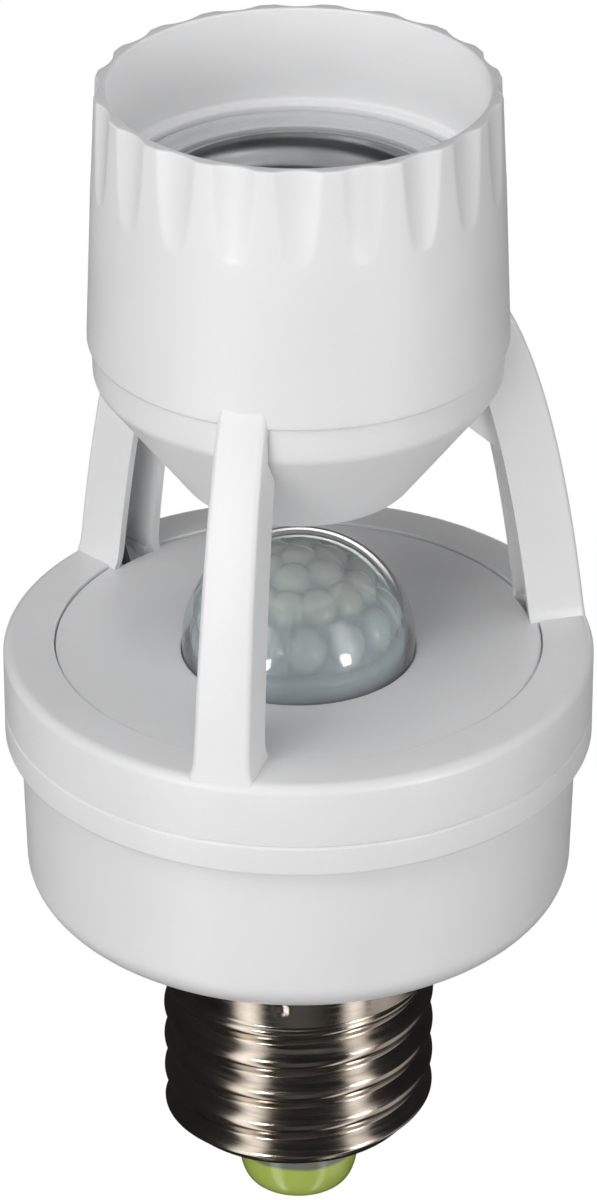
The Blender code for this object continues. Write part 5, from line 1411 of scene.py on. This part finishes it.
@dataclass
class Studio:
    """The pale floor, the soft lights, the reflector cards and the camera."""

    camera_place: tuple[float, float, float] = (0.0, -0.49716, 0.34271)
    camera_tilt: float = 60.851
    lens: float = 182.0
    sensor_width: float = 36.0
    near_clip: float = 0.02
    floor_half: float = 3.0
    floor_turn: float = -15.0
    floor_ends: Span = (0.06, -0.08)
    floor_front: float = 0.13
    floor_back: float = 0.10
    paper: tuple[Colour, Colour] = ((0.34, 0.34, 0.34), (0.36, 0.36, 0.36))
    card_glow: Colour = (1.0, 0.95, 0.90)
    ambient: float = 0.155
    sky_tint: Colour = (0.97, 0.97, 1.0)
    gloss_sky: float = 0.02
    softboxes: tuple[Softbox, ...] = (Softbox("key_high", -42.0, 35.0, 1.5),
                                      Softbox("key_low", -25.0, 8.0, 2.25),
                                      Softbox("left_light", -65.0, 8.0, 1.12),
                                      Softbox("right_light", 48.0, 6.0, 2.4),
                                      Softbox("top_light", -20.0, 60.0, 1.7),
                                      Softbox("back_light", 100.0, 20.0, 0.85),
                                      Softbox("rear_light", 178.0, 8.0, 1.5))
    mouth_power: float = 0.0012
    mouth_size: float = 0.028
    mouth_place: tuple[float, float, float] = (0.002, -0.002, 0.1205)
    mouth_tilt: Span = (12.0, 12.0)
    cards: tuple[Card, ...] = (
        Card(-45.0, -72.0, 40.0, 30.0, 1.8, 0.7), Card(50.0, -72.0, 40.0, 27.0, 1.5, 0.7),
        Card(78.0, -50.0, -12.0, 74.0, 0.55, 0.8), Card(0.0, -52.0, -6.0, 70.0, 0.10, 0.75),
        Card(168.0, -7.0, 2.0, 46.0, 4.0, 0.7), Card(47.0, -3.0, 7.0, 10.0, 30.0, 0.6),
        Card(-31.0, -3.0, 7.0, 9.0, 25.0, 0.6))

    def floor(self) -> None:
        """Lay the floor: white to the camera, and to all else brighter before the part than behind it."""
        share = np.linspace(-1.0, 1.0, 9) * self.floor_half
        grid = np.stack(np.broadcast_arrays(share[None, :], share[:, None], 0.0), axis=-1)
        floor = Skin().add(grid, wrap_columns=False).build("studio_floor")
        made, board, shader = shaded("studio_paper", {"Roughness": 0.9, "Emission Color": WHITE_LIGHT})
        swung = board.add("ShaderNodeMapping", {"Vector": board.place(),
                                                "Rotation": (0.0, 0.0, math.radians(self.floor_turn))})
        depth = board.add("ShaderNodeSeparateXYZ", {0: swung.outputs[0]}).outputs["Y"]
        glow = board.spread(depth, self.floor_ends, (self.floor_back, self.floor_front))
        tint = board.ramp(board.noise(8.0), [(0.3, self.paper[0]), (0.7, self.paper[1])])
        wire(board, shader, {"Base Color": tint, "Emission Strength": glow})
        path = board.add("ShaderNodeLightPath")
        white = board.add("ShaderNodeEmission", {"Color": WHITE_LIGHT, "Strength": 1.0})
        board.surface(board.mix(path.outputs["Is Camera Ray"], shader, white))
        floor.data.materials.append(made)
        floor.visible_glossy = False

    def card(self, number: int, card: Card) -> None:
        """Hang a glowing card that only reflections see.

        It is a patch of a sphere round the part's middle, and its glow falls off to both sides as a cosine.

        Args:
            number: Its number among the cards.
            card: Its place, size and strength.
        """
        share = np.linspace(-1.0, 1.0, 25)[None, :]
        around = np.radians(card.azimuth - 90.0 + share * card.width / 2)
        up = np.radians(np.linspace(card.low, card.high, 9))[:, None]
        grid = round_axis(card.reach * np.cos(up), MIDDLE_HEIGHT + card.reach * np.sin(up), around)
        hung = Skin().add(grid, wrap_columns=False).build(f"reflector_card_{number}")
        x, y, _ = points_of(hung).T
        off = (np.degrees(np.arctan2(y, x)) + 90.0 - card.azimuth + 180.0) % 360.0 - 180.0
        mark_points(hung, "glow", card.strength * np.cos(np.clip(off / card.width, -0.5, 0.5) * math.pi))
        made, board, _ = shaded(f"card_glow_{number}", {})
        level = board.add("ShaderNodeAttribute", attribute_name="glow").outputs["Fac"]
        board.surface(board.add("ShaderNodeEmission", {"Color": (*self.card_glow, 1.0), "Strength": level}))
        hung.data.materials.append(made)
        hung.visible_camera = hung.visible_diffuse = hung.visible_transmission = False
        hung.visible_shadow = hung.visible_volume_scatter = False

    def softbox(self, box: Softbox) -> None:
        """Hang a soft light that faces the middle of the part and that reflections don't see."""
        light = bpy.data.lights.new(box.name, "AREA")
        light.shape = "SQUARE"
        light.size = box.side
        light.energy = box.power
        lamp = bpy.data.objects.new(box.name, light)
        around, up = math.radians(box.azimuth - 90.0), math.radians(box.elevation)
        offset = Vector((math.cos(up) * math.cos(around), math.cos(up) * math.sin(around), math.sin(up)))
        lamp.location = Vector((0.0, 0.0, MIDDLE_HEIGHT)) + offset * box.reach
        lamp.rotation_euler = offset.to_track_quat("Z", "Y").to_euler()
        lamp.visible_glossy = False
        bpy.context.scene.collection.objects.link(lamp)

    def mouth_light(self) -> None:
        """Hang a small round light over the skirt's mouth that lights only what lies inside it."""
        light = bpy.data.lights.new("mouth_light", "AREA")
        light.shape = "DISK"
        light.size = self.mouth_size
        light.energy = self.mouth_power
        lamp = bpy.data.objects.new("mouth_light", light)
        lamp.location = self.mouth_place
        lamp.rotation_euler = (math.radians(self.mouth_tilt[0]), math.radians(self.mouth_tilt[1]), 0.0)
        lamp.visible_camera = False
        bpy.context.scene.collection.objects.link(lamp)

    def sky(self) -> None:
        """Set the world: white to the camera, dim to the eye of a reflection, grey light for the rest."""
        world = bpy.data.worlds.new("studio_sky")
        world.use_nodes = True
        board = NodeBoard(world.node_tree)
        for node in list(world.node_tree.nodes):
            world.node_tree.nodes.remove(node)
        path = board.add("ShaderNodeLightPath")
        grey = board.add("ShaderNodeBackground", {"Color": (*self.sky_tint, 1.0), "Strength": self.ambient})
        dim = board.add("ShaderNodeBackground", {"Color": WHITE_LIGHT, "Strength": self.gloss_sky})
        white = board.add("ShaderNodeBackground", {"Color": WHITE_LIGHT, "Strength": 1.0})
        unseen = board.mix(path.outputs["Is Glossy Ray"], grey, dim)
        whole = board.mix(path.outputs["Is Camera Ray"], unseen, white)
        board.add("ShaderNodeOutputWorld", {0: whole.outputs[0]})
        bpy.context.scene.world = world

    def camera(self) -> None:
        """Set the camera at the photograph's viewing angle."""
        data = bpy.data.cameras.new("studio_camera")
        data.lens = self.lens
        data.sensor_width = self.sensor_width
        data.clip_start = self.near_clip
        camera = bpy.data.objects.new("studio_camera", data)
        camera.location = self.camera_place
        camera.rotation_euler = (math.radians(self.camera_tilt), 0.0, 0.0)
        bpy.context.scene.collection.objects.link(camera)
        bpy.context.scene.camera = camera

    def build(self) -> None:
        """Set up the whole studio."""
        bpy.context.scene.view_settings.view_transform = "Standard"
        self.camera()
        self.sky()
        self.floor()
        for number, card in enumerate(self.cards, start=1):
            self.card(number, card)
        for box in self.softboxes:
            self.softbox(box)
        self.mouth_light()


def main() -> None:
    logging.basicConfig(level=logging.INFO, format="%(name)s: %(message)s")
    for part in (Studio(), ScrewCap(), LowerHousing(), UpperFrame(), SocketCone(), SensorHead(), LampSocket(),
                 Electronics()):
        LOG.info("building %s", type(part).__name__)
        part.build()


if __name__ == "__main__":
    main()
